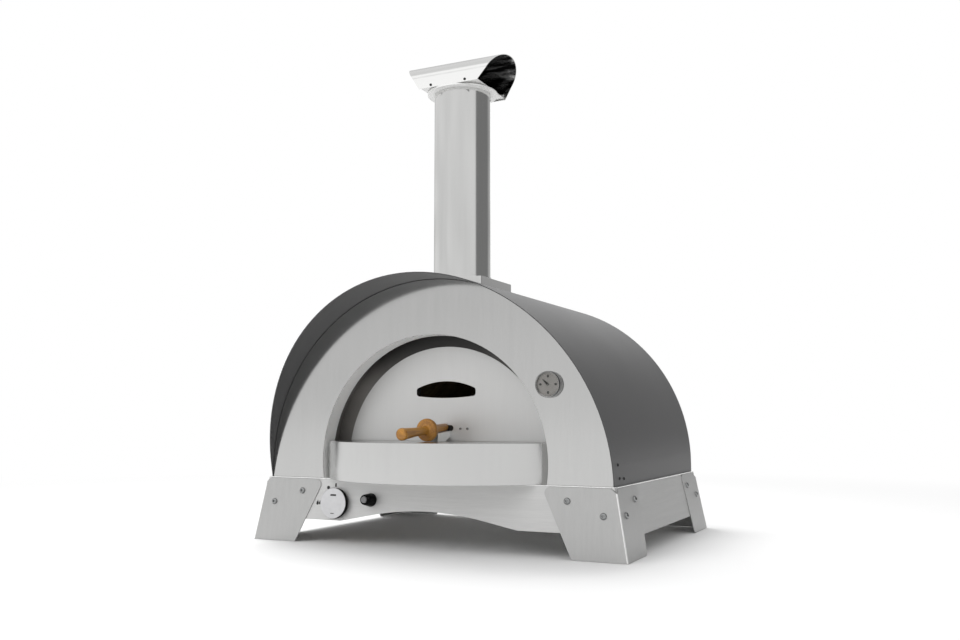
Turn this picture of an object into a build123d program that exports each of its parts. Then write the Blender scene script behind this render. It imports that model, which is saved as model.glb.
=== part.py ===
from build123d import *
import os
from math import atan, cos, radians, sin, sqrt

os.makedirs("parts", exist_ok=True)

# Driving sizes: the casing's radius, the stand's depth and height, its leaning sides, and how
# far the shelf and the handle reach in front of the stand
casing_radius = 468.0
stand_depth = 763.0
stand_height = 160.7
deck_side_ledge = 7.1
side_lean = 29.4
end_lean = 15.1
shelf_reach = 118.0
handle_reach = 108.2

# Sheet thicknesses and clearances
leg_sheet = 2.5
panel_sheet = 2.0
deck_sheet = 2.0
shell_sheet = 2.0
liner_sheet = 2.0
fit_gap = 0.3
running_gap = 0.08
cut_overrun = 5.0

# Casing, mouth and chamber: arches about lines that run from front to back
casing_arch_rise = 27.3
casing_rear_inset = 23.0
visor_setback = 25.3
visor_rake = 0.226
faceplate_setback = 27.0
faceplate_width = 158.0
mouth_arch_rise = 46.3
reveal_depth = 45.0
insulation_thickness = 143.0
vault_thickness = 47.0
rear_wall_thickness = 25.0
rear_insulation_thickness = 24.1
door_setback = 112.6
door_margin = 25.0
door_skin_sheet = 2.0

# Shelf and hearth
shelf_height = 255.0
hearth_drop = 0.3

# Flue and cowl
flue_radius = 75.5
flue_sheet = 1.5
flue_setback = 204.7
flue_length = 516.0
collar_rise = 12.0
cowl_half_width = 90.0
cowl_sheet = 1.5

# Places that follow from the sizes above; y is 0 at the middle of the overall depth
stand_width = 2 * (casing_radius + deck_side_ledge + side_lean)
front_y = shelf_reach - (stand_depth + shelf_reach) / 2
rear_y = front_y + stand_depth
stand_mid = (front_y + rear_y) / 2
half_width = stand_width / 2
side_slope = side_lean / stand_height
end_slope = end_lean / stand_height
deck_top = stand_height
deck_bottom = deck_top - deck_sheet
casing_arch_height = deck_top + casing_arch_rise
mouth_arch_height = deck_top + mouth_arch_rise
casing_rear_y = rear_y - casing_rear_inset
casing_inner_radius = casing_radius - shell_sheet
mouth_radius = casing_radius - faceplate_width
door_radius = mouth_radius - door_margin
faceplate_y = front_y + faceplate_setback
faceplate_back = faceplate_y + shell_sheet
door_y = front_y + door_setback
ring_y = door_y + door_skin_sheet + fit_gap
vault_y = ring_y + liner_sheet
rear_panel_y = casing_rear_y - shell_sheet
rear_wall_back = rear_panel_y - rear_insulation_thickness
rear_wall_y = rear_wall_back - rear_wall_thickness
chamber_depth = rear_wall_y - vault_y
vault_radius = casing_radius - insulation_thickness
chamber_radius = vault_radius - vault_thickness
flue_y = front_y + flue_setback
collar_height = casing_arch_height + casing_radius + collar_rise
flue_top = collar_height + flue_length
hearth_top = shelf_height - hearth_drop


def save(part, name):
    """Label a finished piece and write it to its own file."""
    part.label = name
    export_step(part, f"parts/{name}.step")


def front_plane(y):
    """A sketch plane across the oven at y: x to the right, z up, facing the user."""
    return Plane(origin=(0, y, 0), x_dir=(1, 0, 0), z_dir=(0, -1, 0))


def side_plane(x):
    """A sketch plane along the oven at x: y towards the rear, z up, facing right."""
    return Plane(origin=(x, 0, 0), x_dir=(0, 1, 0), z_dir=(1, 0, 0))


def polygon_face(points):
    """Fill a closed outline of straight edges."""
    with BuildSketch() as outline:
        with BuildLine():
            Polyline(*points, close=True)
        make_face()
    return outline.sketch


def arch_face(radius, centre_height, foot_height):
    """Fill an arch: a half circle on two straight legs that stand at foot_height."""
    with BuildSketch() as outline:
        with BuildLine():
            Polyline(
                (-radius, centre_height),
                (-radius, foot_height),
                (radius, foot_height),
                (radius, centre_height),
            )
            ThreePointArc(
                (radius, centre_height), (0, centre_height + radius), (-radius, centre_height)
            )
        make_face()
    return outline.sketch


def cut_disc_face(radius, centre_height, foot_height):
    """Fill the part of a disc that lies above foot_height."""
    with BuildSketch() as outline:
        with Locations((0, centre_height)):
            Circle(radius)
        with Locations((0, foot_height)):
            Rectangle(3 * radius, 3 * radius, align=(Align.CENTER, Align.MAX), mode=Mode.SUBTRACT)
    return outline.sketch


def slab(face, y, thickness):
    """A plate with the given face towards the user at y."""
    with BuildPart() as plate:
        with BuildSketch(front_plane(y)):
            add(face)
        extrude(amount=-thickness)
    return plate.part


# The stand's skins: pyramids drawn in by the same amount on all four sides
def stand_block(inset, overrun):
    """The stand's pyramid, carried on by overrun below the floor and above its top."""
    ends = (-overrun, stand_height + overrun)
    across = [half_width - inset - side_slope * height for height in ends]
    along = [stand_depth / 2 - inset - end_slope * height for height in ends]
    front_shape = polygon_face((
        (-across[0], ends[0]), (across[0], ends[0]), (across[1], ends[1]), (-across[1], ends[1])
    ))
    side_shape = polygon_face((
        (stand_mid - along[0], ends[0]),
        (stand_mid + along[0], ends[0]),
        (stand_mid + along[1], ends[1]),
        (stand_mid - along[1], ends[1]),
    ))
    with BuildPart() as block:
        with BuildSketch(front_plane(stand_mid)):
            add(front_shape)
        extrude(amount=stand_depth, both=True)
        with BuildSketch(side_plane(0)):
            add(side_shape)
        extrude(amount=stand_width, both=True, mode=Mode.INTERSECT)
    return block.part


def stand_shell(inset, thickness):
    """The four sloping walls of the stand at one depth, joined at the corners."""
    with BuildPart() as shell:
        add(stand_block(inset, 0))
        add(stand_block(inset + thickness, cut_overrun), mode=Mode.SUBTRACT)
    return shell.part


leg_shell = stand_shell(0, leg_sheet)
panel_shell = stand_shell(leg_sheet, panel_sheet)
skin_stack = leg_sheet + panel_sheet
skin_reach = max(side_lean, end_lean) + skin_stack + cut_overrun

# Bolts that hold the legs to the panels: two on each wing of each leg
bolt_radius = 4.0
bolt_head_radius = 8.0
bolt_head_height = 4.6
bolt_round_share = 0.8
bolt_nut_height = 6.5
bolt_nut_radius = 7.5
bolt_tip = 3.0
bolt_spots = ((40.0, 97.5), (120.0, 127.5))
corners = (
    ("front_left_leg", -1, -1),
    ("front_right_leg", 1, -1),
    ("rear_left_leg", -1, 1),
    ("rear_right_leg", 1, 1),
)


def bolt_planes(side, end):
    """The bolt places of one corner: planes on the stand's outer skin that face outwards."""
    planes = []
    for inset, height in bolt_spots:
        edge_x = half_width - side_slope * height
        edge_y = stand_depth / 2 - end_slope * height
        planes.append(
            Plane(
                origin=(side * (edge_x - inset), stand_mid + end * edge_y, height),
                x_dir=(1, 0, 0),
                z_dir=(0, end, end_slope),
            )
        )
        planes.append(
            Plane(
                origin=(side * edge_x, stand_mid + end * (edge_y - inset), height),
                x_dir=(0, 1, 0),
                z_dir=(side, 0, side_slope),
            )
        )
    return planes


all_bolt_planes = [plane for name, side, end in corners for plane in bolt_planes(side, end)]

# Corner legs, each bent from one sheet and laid over the panels
leg_top = 158.0
leg_corner_radius = 14.0
front_crop = (13.0, 13.0, 13.0)
rear_crop = (13.0, 35.0, 16.0)
front_wing_foot = 130.0
front_wing_flare = 0.485
side_wing_foot = 147.0
side_wing_flare = 0.17


def wing_face(edge, inward, foot, flare, rounded):
    """One wing of a leg: edge is the corner at the floor, inward points to its free edge."""
    inner_foot = edge + inward * foot
    inner_top = inner_foot + inward * flare * leg_top
    outer = edge - inward * cut_overrun
    with BuildSketch() as outline:
        with BuildLine():
            Polyline((outer, 0), (inner_foot, 0), (inner_top, leg_top), (outer, leg_top), close=True)
        make_face()
        by_reach = outline.vertices().sort_by(Axis.X, reverse=inward > 0)
        fillet(by_reach[:rounded], leg_corner_radius)
    return outline.sketch


def crop_plane(side, end, crop):
    """The plane that takes off a leg's top corner, facing away from the leg."""
    across, along, drop = crop
    top = Vector(
        side * (half_width - side_slope * leg_top),
        stand_mid + end * (stand_depth / 2 - end_slope * leg_top),
        leg_top,
    )
    front_point = top - Vector(side * across, 0, 0)
    side_point = top - Vector(0, end * along, 0)
    low_point = top + Vector(side * side_slope, end * end_slope, -1) * drop
    normal = (side_point - front_point).cross(low_point - front_point)
    if normal.Z < 0:
        normal = -normal
    return Plane(origin=low_point, x_dir=side_point - front_point, z_dir=normal)


for name, side, end in corners:
    corner_x = side * half_width
    corner_y = stand_mid + end * stand_depth / 2
    crop = front_crop if end < 0 else rear_crop
    with BuildPart() as leg:
        with BuildSketch(front_plane(corner_y)):
            add(wing_face(corner_x, -side, front_wing_foot, front_wing_flare, 1))
        extrude(amount=skin_reach, both=True)
        with BuildSketch(side_plane(corner_x)):
            add(wing_face(corner_y, -end, side_wing_foot, side_wing_flare, 2))
        extrude(amount=skin_reach, both=True)
        add(leg_shell, mode=Mode.INTERSECT)
        with BuildSketch(crop_plane(side, end, crop)):
            Circle(stand_height)
        extrude(amount=stand_height, mode=Mode.SUBTRACT)
        with Locations(*bolt_planes(side, end)):
            Cylinder(bolt_radius + fit_gap, 3 * skin_stack, mode=Mode.SUBTRACT)
    save(leg.part, name)

# Bolts and nuts, each set in one file as separate solids
with BuildPart() as leg_bolts:
    with Locations(*all_bolt_planes):
        Cylinder(bolt_head_radius, bolt_head_height, align=(Align.CENTER, Align.CENTER, Align.MIN))
    fillet(
        leg_bolts.edges().filter_by(GeomType.CIRCLE).group_by(SortBy.RADIUS)[-1]
        .filter_by(lambda edge: all(
            (edge.arc_center - plane.origin).length > bolt_head_height / 2
            for plane in all_bolt_planes
        )),
        bolt_round_share * bolt_head_height,
    )
    shank = skin_stack + bolt_nut_height + bolt_tip
    with Locations(*all_bolt_planes):
        Cylinder(bolt_radius, shank, align=(Align.CENTER, Align.CENTER, Align.MAX))
save(leg_bolts.part, "leg_bolts")

with BuildPart() as leg_nuts:
    for plane in all_bolt_planes:
        with BuildSketch(plane.offset(-skin_stack)):
            RegularPolygon(bolt_nut_radius, 6)
            Circle(bolt_radius + running_gap, mode=Mode.SUBTRACT)
        extrude(amount=-bolt_nut_height)
save(leg_nuts.part, "leg_nuts")

# Controls on the front apron, and the gas line's way through the rear one
knob_inset = 248.0
knob_x = knob_inset - half_width
knob_height = 99.0
igniter_inset = 349.7
igniter_x = igniter_inset - half_width
igniter_height = 111.0
spindle_radius = 4.0
spindle_hole_radius = 7.0
igniter_neck_radius = 11.0
inlet_height = 80.0
inlet_thread_radius = 6.58


def control_plane(x, height):
    """A plane on the front apron's outer face that faces the user."""
    return Plane(
        origin=(x, front_y + leg_sheet + end_slope * height, height),
        x_dir=(1, 0, 0),
        z_dir=(0, -1, end_slope),
    )


# Aprons across the front and the rear, with an arched lower edge
apron_edge = 57.0
apron_foot_inset = 264.5
apron_shoulder_inset = 368.5
apron_slope_foot = half_width - apron_foot_inset
apron_shoulder = half_width - apron_shoulder_inset
apron_shoulder_height = 77.3
apron_crown_height = 89.0


def apron_face():
    """The apron's outline; its ends stand clear of the side panels."""
    end_foot = half_width - skin_stack - fit_gap - side_slope * apron_edge
    end_head = half_width - skin_stack - fit_gap - side_slope * deck_bottom
    with BuildSketch() as outline:
        with BuildLine():
            Polyline(
                (-apron_shoulder, apron_shoulder_height),
                (-apron_slope_foot, apron_edge),
                (-end_foot, apron_edge),
                (-end_head, deck_bottom),
                (end_head, deck_bottom),
                (end_foot, apron_edge),
                (apron_slope_foot, apron_edge),
                (apron_shoulder, apron_shoulder_height),
            )
            ThreePointArc(
                (apron_shoulder, apron_shoulder_height),
                (0, apron_crown_height),
                (-apron_shoulder, apron_shoulder_height),
            )
        make_face()
    return outline.sketch


def panel_skin(face, plane):
    """A panel of the stand: the face's outline cut from the skin inside the legs."""
    with BuildPart() as panel:
        with BuildSketch(plane):
            add(face)
        extrude(amount=skin_reach, both=True)
        add(panel_shell, mode=Mode.INTERSECT)
        with Locations(*all_bolt_planes):
            Cylinder(bolt_radius + fit_gap, 3 * skin_stack, mode=Mode.SUBTRACT)
    return panel.part


with BuildPart() as front_apron:
    add(panel_skin(apron_face(), front_plane(front_y)))
    with Locations(control_plane(knob_x, knob_height)):
        Cylinder(spindle_hole_radius, 3 * skin_stack, mode=Mode.SUBTRACT)
    with Locations(control_plane(igniter_x, igniter_height)):
        Cylinder(igniter_neck_radius + fit_gap, 3 * skin_stack, mode=Mode.SUBTRACT)
save(front_apron.part, "front_apron")

with BuildPart() as rear_apron:
    add(panel_skin(apron_face(), front_plane(rear_y)))
    with BuildSketch(front_plane(rear_y)):
        with Locations((knob_x, inlet_height)):
            Circle(inlet_thread_radius + fit_gap)
    extrude(amount=skin_reach, mode=Mode.SUBTRACT)
save(rear_apron.part, "rear_apron")

# Side panels between the legs
side_panel_edge = 46.0
side_reach = stand_depth / 2 - skin_stack - fit_gap
side_outline = polygon_face([
    (stand_mid + end * (side_reach - end_slope * height), height)
    for end, height in (
        (-1, side_panel_edge),
        (1, side_panel_edge),
        (1, deck_bottom),
        (-1, deck_bottom),
    )
])
for name, side in (("left_side_panel", -1), ("right_side_panel", 1)):
    save(panel_skin(side_outline, side_plane(side * half_width)), name)

# Burner: a closed tube with ports, along the left of the hearth
tile_thickness = 30.0
tile_bottom = hearth_top - tile_thickness
burner_radius = 17.0
burner_wall = 2.0
burner_inset = 46.0
burner_x = burner_inset - chamber_radius
burner_rest = 10.0
burner_height = tile_bottom + burner_rest + burner_radius
burner_setback = 45.0
burner_rear_gap = 97.0
burner_front_y = vault_y + burner_setback
burner_length = chamber_depth - burner_setback - burner_rear_gap
port_radius = 2.0
port_margin = 17.0
port_count = 22
port_pitch = (burner_length - 2 * port_margin) / port_count
gas_pipe_radius = 6.0
gas_pipe_wall = 1.0
riser_inset = 30.0
riser_y = burner_front_y + riser_inset
electrode_radius = 4.0
electrode_offset = 26.0
electrode_y = burner_front_y + 2 * riser_inset

# Top deck of the stand
deck_corner = 13.0
with BuildPart() as base_deck:
    with BuildSketch(Plane.XY.offset(deck_bottom)):
        with Locations((0, stand_mid)):
            RectangleRounded(
                stand_width - 2 * side_lean, stand_depth - 2 * end_lean, deck_corner
            )
        with Locations((burner_x, riser_y)):
            Circle(gas_pipe_radius + fit_gap, mode=Mode.SUBTRACT)
    extrude(amount=deck_sheet)
save(base_deck.part, "base_deck")

# Outer casing: one bent sheet, its front edge raked forward as a visor
casing_top = casing_arch_height + casing_radius
visor_top_y = front_y + visor_setback - visor_rake * (casing_top - deck_top)
screw_radius = 2.0
screw_head_radius = 3.6
screw_head_height = 2.4
screw_length = 8.0
casing_screw_spots = ((51.8, 208.0), (62.0, 177.4), (94.8, 175.5))


def casing_screw_planes():
    """Places of the casing's screws: planes that face outwards on both sides."""
    planes = []
    for side in (-1, 1):
        for setback, height in casing_screw_spots:
            rise = max(height - casing_arch_height, 0)
            planes.append(
                Plane(
                    origin=(
                        side * sqrt(casing_radius**2 - rise**2),
                        front_y + setback,
                        height,
                    ),
                    x_dir=(0, 1, 0),
                    z_dir=(side, 0, rise / casing_radius),
                )
            )
    return planes


with BuildPart() as outer_casing:
    with BuildSketch(front_plane(casing_rear_y)):
        add(arch_face(casing_radius, casing_arch_height, deck_top))
        add(arch_face(casing_inner_radius, casing_arch_height, deck_top), mode=Mode.SUBTRACT)
    extrude(amount=casing_rear_y - visor_top_y)
    visor_cut = polygon_face((
        (front_y + visor_setback + visor_rake * cut_overrun, deck_top - cut_overrun),
        (visor_top_y - visor_rake * cut_overrun, casing_top + cut_overrun),
        (visor_top_y - 2 * cut_overrun, casing_top + cut_overrun),
        (visor_top_y - 2 * cut_overrun, deck_top - cut_overrun),
    ))
    with BuildSketch(side_plane(0)):
        add(visor_cut)
    extrude(amount=casing_radius + cut_overrun, both=True, mode=Mode.SUBTRACT)
    with BuildSketch(Plane.XY.offset(casing_arch_height)):
        with Locations((0, flue_y)):
            Circle(flue_radius + fit_gap)
    extrude(amount=casing_radius + cut_overrun, mode=Mode.SUBTRACT)
    with Locations(*casing_screw_planes()):
        Cylinder(screw_radius + fit_gap, 4 * shell_sheet, mode=Mode.SUBTRACT)
save(outer_casing.part, "outer_casing")

# Thermometer's place on the faceplate, right of the mouth
gauge_inset = 94.1
gauge_angle = 32.6
gauge_x = (casing_radius - gauge_inset) * cos(radians(gauge_angle))
gauge_height = casing_arch_height + (casing_radius - gauge_inset) * sin(radians(gauge_angle))
gauge_neck_radius = 5.7
gauge_spot = Plane(
    origin=(gauge_x, faceplate_y, gauge_height), x_dir=(1, 0, 0), z_dir=(0, -1, 0)
)

# Faceplate, set back under the visor
with BuildPart() as faceplate:
    with BuildSketch(front_plane(faceplate_y)):
        add(arch_face(casing_inner_radius - fit_gap, casing_arch_height, deck_top))
        with Locations((0, mouth_arch_height)):
            Circle(mouth_radius, mode=Mode.SUBTRACT)
        with Locations((gauge_x, gauge_height)):
            Circle(gauge_neck_radius + fit_gap, mode=Mode.SUBTRACT)
    extrude(amount=-shell_sheet)
save(faceplate.part, "faceplate")

# Reveal: the mouth's rim, turned inwards
with BuildPart() as mouth_reveal:
    with BuildSketch(front_plane(faceplate_back)):
        add(cut_disc_face(mouth_radius + liner_sheet, mouth_arch_height, deck_top))
        add(cut_disc_face(mouth_radius, mouth_arch_height, deck_top), mode=Mode.SUBTRACT)
    extrude(amount=-reveal_depth)
save(mouth_reveal.part, "mouth_reveal")

# Vestibule liner, between the faceplate and the chamber
vestibule_radius = vault_radius + fit_gap
liner_radius = vestibule_radius + liner_sheet
with BuildPart() as vestibule_liner:
    with BuildSketch(front_plane(faceplate_back)):
        add(arch_face(liner_radius, mouth_arch_height, deck_top))
        add(arch_face(vestibule_radius, mouth_arch_height, deck_top), mode=Mode.SUBTRACT)
    extrude(amount=-(vault_y - faceplate_back))
save(vestibule_liner.part, "vestibule_liner")

# Front ring: the steel rim of the chamber, which the door closes against
ring_lap = 2.0
with BuildPart() as chamber_front_ring:
    with BuildSketch(front_plane(ring_y)):
        add(arch_face(vault_radius, mouth_arch_height, deck_top))
        add(
            arch_face(chamber_radius - ring_lap, mouth_arch_height, deck_top),
            mode=Mode.SUBTRACT,
        )
    extrude(amount=-liner_sheet)
save(chamber_front_ring.part, "chamber_front_ring")

# Refractory vault, open at the front, with the smoke hole through its crown
with BuildPart() as chamber_vault:
    with BuildSketch(front_plane(vault_y)):
        add(arch_face(vault_radius, mouth_arch_height, deck_top))
        add(arch_face(chamber_radius, mouth_arch_height, deck_top), mode=Mode.SUBTRACT)
    extrude(amount=-chamber_depth)
    with BuildSketch(Plane.XY.offset(mouth_arch_height)):
        with Locations((0, flue_y)):
            Circle(flue_radius + fit_gap)
    extrude(amount=vault_radius + cut_overrun, mode=Mode.SUBTRACT)
save(chamber_vault.part, "chamber_vault")

with BuildPart() as chamber_rear_wall:
    add(slab(
        arch_face(vault_radius, mouth_arch_height, deck_top), rear_wall_y, rear_wall_thickness
    ))
save(chamber_rear_wall.part, "chamber_rear_wall")

# Insulation between the vault and the casing
blanket_margin = 10.0
blanket_radius = casing_inner_radius - blanket_margin
gauge_probe_radius = 3.0
gauge_probe_reach = 70.0
gauge_nut_radius = 10.0
gauge_nut_height = 6.0
blanket_front = faceplate_back + fit_gap
with BuildPart() as insulation_blanket:
    with BuildSketch(front_plane(blanket_front)):
        add(arch_face(blanket_radius, casing_arch_height, deck_top))
        add(
            arch_face(liner_radius + fit_gap, mouth_arch_height, deck_top),
            mode=Mode.SUBTRACT,
        )
    extrude(amount=-(rear_wall_back - blanket_front))
    with BuildSketch(Plane.XY.offset(mouth_arch_height)):
        with Locations((0, flue_y)):
            Circle(flue_radius + fit_gap)
    extrude(amount=casing_radius, mode=Mode.SUBTRACT)
    with Locations(gauge_spot):
        Cylinder(
            gauge_probe_radius + fit_gap,
            gauge_probe_reach + cut_overrun,
            align=(Align.CENTER, Align.CENTER, Align.MAX),
            mode=Mode.SUBTRACT,
        )
        Cylinder(
            gauge_nut_radius + fit_gap,
            shell_sheet + 2 * gauge_nut_height,
            align=(Align.CENTER, Align.CENTER, Align.MAX),
            mode=Mode.SUBTRACT,
        )
save(insulation_blanket.part, "insulation_blanket")

with BuildPart() as rear_insulation:
    add(slab(
        arch_face(blanket_radius, casing_arch_height, deck_top),
        rear_wall_back,
        rear_panel_y - rear_wall_back,
    ))
save(rear_insulation.part, "rear_insulation")

with BuildPart() as rear_panel:
    add(slab(
        arch_face(casing_inner_radius - fit_gap, casing_arch_height, deck_top),
        rear_panel_y,
        shell_sheet,
    ))
save(rear_panel.part, "rear_panel")

# Hearth: a steel tray, an insulating board and loose refractory tiles
tray_half_width = chamber_radius - 3 * fit_gap
tray_length = chamber_depth - fit_gap
tray_rise = tile_bottom - deck_top
board_half_width = tray_half_width - liner_sheet - fit_gap
board_length = tray_length - 2 * (liner_sheet + fit_gap)
board_y = vault_y + liner_sheet + fit_gap
with BuildPart() as hearth_tray:
    with BuildSketch(Plane.XY.offset(deck_top)):
        with Locations((0, vault_y)):
            Rectangle(2 * tray_half_width, tray_length, align=(Align.CENTER, Align.MIN))
        with Locations((burner_x, riser_y)):
            Circle(gas_pipe_radius + fit_gap, mode=Mode.SUBTRACT)
    extrude(amount=tray_rise)
    with BuildSketch(Plane.XY.offset(deck_top + liner_sheet)):
        with Locations((0, vault_y + liner_sheet)):
            Rectangle(
                2 * (tray_half_width - liner_sheet),
                tray_length - 2 * liner_sheet,
                align=(Align.CENTER, Align.MIN),
            )
    extrude(amount=tray_rise, mode=Mode.SUBTRACT)
save(hearth_tray.part, "hearth_tray")

with BuildPart() as floor_board:
    with BuildSketch(Plane.XY.offset(deck_top + liner_sheet)):
        with Locations((0, board_y)):
            Rectangle(2 * board_half_width, board_length, align=(Align.CENTER, Align.MIN))
        with Locations((burner_x, riser_y)):
            Circle(gas_pipe_radius + fit_gap, mode=Mode.SUBTRACT)
    extrude(amount=tray_rise - liner_sheet)
save(floor_board.part, "floor_board")

tile_columns = 2
tile_rows = 3
tile_joint = 0.6
tile_right = chamber_radius - 2 * ring_lap - liner_sheet
burner_bay = 88.0
tile_left = burner_bay - chamber_radius
tile_length = chamber_depth - 2 * tile_joint
tile_pitch_x = (tile_right - tile_left) / tile_columns
tile_pitch_y = tile_length / tile_rows
tile_edge = 1.5
with BuildPart() as hearth_tiles:
    with BuildSketch(Plane.XY.offset(tile_bottom)):
        with Locations(((tile_left + tile_right) / 2, vault_y + tile_joint + tile_length / 2)):
            with GridLocations(tile_pitch_x, tile_pitch_y, tile_columns, tile_rows):
                Rectangle(tile_pitch_x - tile_joint, tile_pitch_y - tile_joint)
    extrude(amount=tile_thickness)
    chamfer(hearth_tiles.faces().group_by(Axis.Z)[-1].edges(), tile_edge)
save(hearth_tiles.part, "hearth_tiles")

# Burner tube with its row of ports, carried by two saddles on the board
with BuildPart() as burner_tube:
    with BuildSketch(front_plane(burner_front_y)):
        with Locations((burner_x, burner_height)):
            Circle(burner_radius)
    extrude(amount=-burner_length)
    with BuildSketch(front_plane(burner_front_y + burner_wall)):
        with Locations((burner_x, burner_height)):
            Circle(burner_radius - burner_wall)
    extrude(amount=-(burner_length - 2 * burner_wall), mode=Mode.SUBTRACT)
    with BuildSketch(Plane.XY.offset(burner_height)):
        with Locations((burner_x, burner_front_y + burner_length / 2)):
            with GridLocations(port_pitch, port_pitch, 1, port_count):
                Circle(port_radius)
    extrude(amount=2 * burner_radius, mode=Mode.SUBTRACT)
    with BuildSketch(Plane.XY.offset(burner_height)):
        with Locations((burner_x, riser_y)):
            Circle(gas_pipe_radius + fit_gap)
    extrude(amount=-2 * burner_radius, mode=Mode.SUBTRACT)
save(burner_tube.part, "burner_tube")

saddle_width = 40.0
saddle_depth = 14.0
saddle_share = 0.25
with BuildPart() as burner_saddles:
    with BuildSketch(Plane.XY.offset(tile_bottom)):
        for share in (saddle_share, 1 - saddle_share):
            with Locations((burner_x, burner_front_y + share * burner_length)):
                Rectangle(saddle_width, saddle_depth)
    extrude(amount=burner_rest + burner_radius / 2)
    with BuildSketch(front_plane(burner_front_y)):
        with Locations((burner_x, burner_height)):
            Circle(burner_radius + fit_gap)
    extrude(amount=-burner_length, mode=Mode.SUBTRACT)
save(burner_saddles.part, "burner_saddles")

guard_rise = 66.0
guard_slot_width = 5.0
guard_slot_height = 26.0
guard_slot_margin = 11.0
guard_slot_count = 17
guard_slot_pitch = (burner_length - 2 * guard_slot_margin) / guard_slot_count
guard_x = tile_left - fit_gap
with BuildPart() as flame_guard:
    with BuildSketch(Plane.XY.offset(tile_bottom)):
        with Locations((guard_x, burner_front_y)):
            Rectangle(liner_sheet, burner_length, align=(Align.MAX, Align.MIN))
    extrude(amount=guard_rise)
    with BuildSketch(side_plane(guard_x)):
        with Locations((burner_front_y + burner_length / 2, hearth_top + guard_slot_height / 2)):
            with GridLocations(guard_slot_pitch, guard_slot_pitch, guard_slot_count, 1):
                Rectangle(guard_slot_width, guard_slot_height - guard_slot_width)
    extrude(amount=2 * liner_sheet, both=True, mode=Mode.SUBTRACT)
save(flame_guard.part, "flame_guard")

# Spark electrode: a ceramic stem with a wire tip beside the burner
electrode_rise = 34.0
electrode_tip = 12.0
electrode_wire_radius = 1.0
with BuildPart() as spark_electrode:
    with BuildSketch(Plane.XY.offset(tile_bottom)):
        with Locations((burner_x + electrode_offset, electrode_y)):
            Circle(electrode_radius)
    extrude(amount=electrode_rise)
    with BuildSketch(Plane.XY.offset(tile_bottom + electrode_rise)):
        with Locations((burner_x + electrode_offset, electrode_y)):
            Circle(electrode_wire_radius)
    extrude(amount=electrode_tip)
save(spark_electrode.part, "spark_electrode")

# Front shelf: a shallow box with a bowed front, closed below by its own floor
shelf_side_gap = 5.5
shelf_half_width = mouth_radius - shelf_side_gap
shelf_bow_inset = 44.0
shelf_rear_gap = 2.0
shelf_edge = 3.0


def shelf_face(inset):
    """The shelf's plan, drawn in by inset all round."""
    with BuildSketch() as outline:
        with BuildLine():
            Polyline(
                (-shelf_half_width, front_y + shelf_bow_inset),
                (-shelf_half_width, door_y - shelf_rear_gap),
                (shelf_half_width, door_y - shelf_rear_gap),
                (shelf_half_width, front_y + shelf_bow_inset),
            )
            ThreePointArc(
                (shelf_half_width, front_y + shelf_bow_inset),
                (0, front_y - shelf_reach),
                (-shelf_half_width, front_y + shelf_bow_inset),
            )
        make_face()
        if inset > 0:
            offset(amount=-inset, mode=Mode.REPLACE)
    return outline.sketch


with BuildPart() as front_shelf:
    with BuildSketch(Plane.XY.offset(deck_top)):
        add(shelf_face(0))
    extrude(amount=shelf_height - deck_top)
    with BuildSketch(Plane.XY.offset(deck_top)):
        add(shelf_face(shell_sheet))
    extrude(amount=shelf_height - deck_top - shell_sheet, mode=Mode.SUBTRACT)
save(front_shelf.part, "front_shelf")

with BuildPart() as shelf_floor:
    with BuildSketch(Plane.XY.offset(deck_top)):
        add(shelf_face(shell_sheet + fit_gap))
    extrude(amount=shell_sheet)
save(shelf_floor.part, "shelf_floor")

# Door: front skin, insulating plug and back skin, lifted off by its handle
door_foot = shelf_height + fit_gap
plug_margin = 10.0
plug_radius = chamber_radius - plug_margin
plug_foot = door_foot
plug_thickness = 26.0
door_back_sheet = 1.5
peep_half_width = 84.0
peep_shares = (0.581, 0.601, 0.670, 0.738)
peep_corner_share = 0.43
peep_bottom, peep_lower, peep_upper, peep_crown = [
    mouth_arch_height + share * plug_radius for share in peep_shares
]
peep_corner = peep_corner_share * (peep_upper - peep_lower)
plug_slot_margin = 4.0
handle_slot_width = 44.0
handle_slot_height = 14.6
handle_height = 290.0
handle_slot_drop = 2.6
door_screw_spots = (-61.5, -42.0, 42.0, 61.5)
door_screw_height = 286.0


def peep_face():
    """The door's peep slot: a flat lens with short upright ends and rounded corners."""
    ends = [
        (side * peep_half_width, height)
        for side, height in ((-1, peep_lower), (1, peep_lower), (1, peep_upper), (-1, peep_upper))
    ]
    with BuildSketch() as outline:
        with BuildLine():
            ThreePointArc(ends[0], (0, peep_bottom), ends[1])
            Line(ends[1], ends[2])
            ThreePointArc(ends[2], (0, peep_crown), ends[3])
            Line(ends[3], ends[0])
        make_face()
        fillet(outline.vertices(), peep_corner)
    return outline.sketch


def plug_slot_face():
    """The slot behind the peep slot: a plain rectangle that clears it all round."""
    with BuildSketch() as outline:
        with Locations((0, (peep_bottom + peep_crown) / 2)):
            Rectangle(
                2 * (peep_half_width + plug_slot_margin),
                peep_crown - peep_bottom + 2 * plug_slot_margin,
            )
    return outline.sketch


with BuildPart() as door_skin:
    with BuildSketch(front_plane(door_y)):
        add(cut_disc_face(door_radius, mouth_arch_height, door_foot))
        add(peep_face(), mode=Mode.SUBTRACT)
        with Locations((0, handle_height - handle_slot_drop)):
            SlotOverall(handle_slot_width, handle_slot_height, mode=Mode.SUBTRACT)
        with Locations(*[(x, door_screw_height) for x in door_screw_spots]):
            Circle(screw_radius + fit_gap, mode=Mode.SUBTRACT)
    extrude(amount=-door_skin_sheet)
save(door_skin.part, "door_skin")

# The handle's axis runs from the door towards the user and dips a little
handle_dip = 0.07
handle_axis = Plane(
    origin=(0, door_y, handle_height), x_dir=(1, 0, 0), z_dir=(0, -1, -handle_dip)
)
rod_radius = 4.0
rod_depth = 14.0
rod_reach = 84.0

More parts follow.
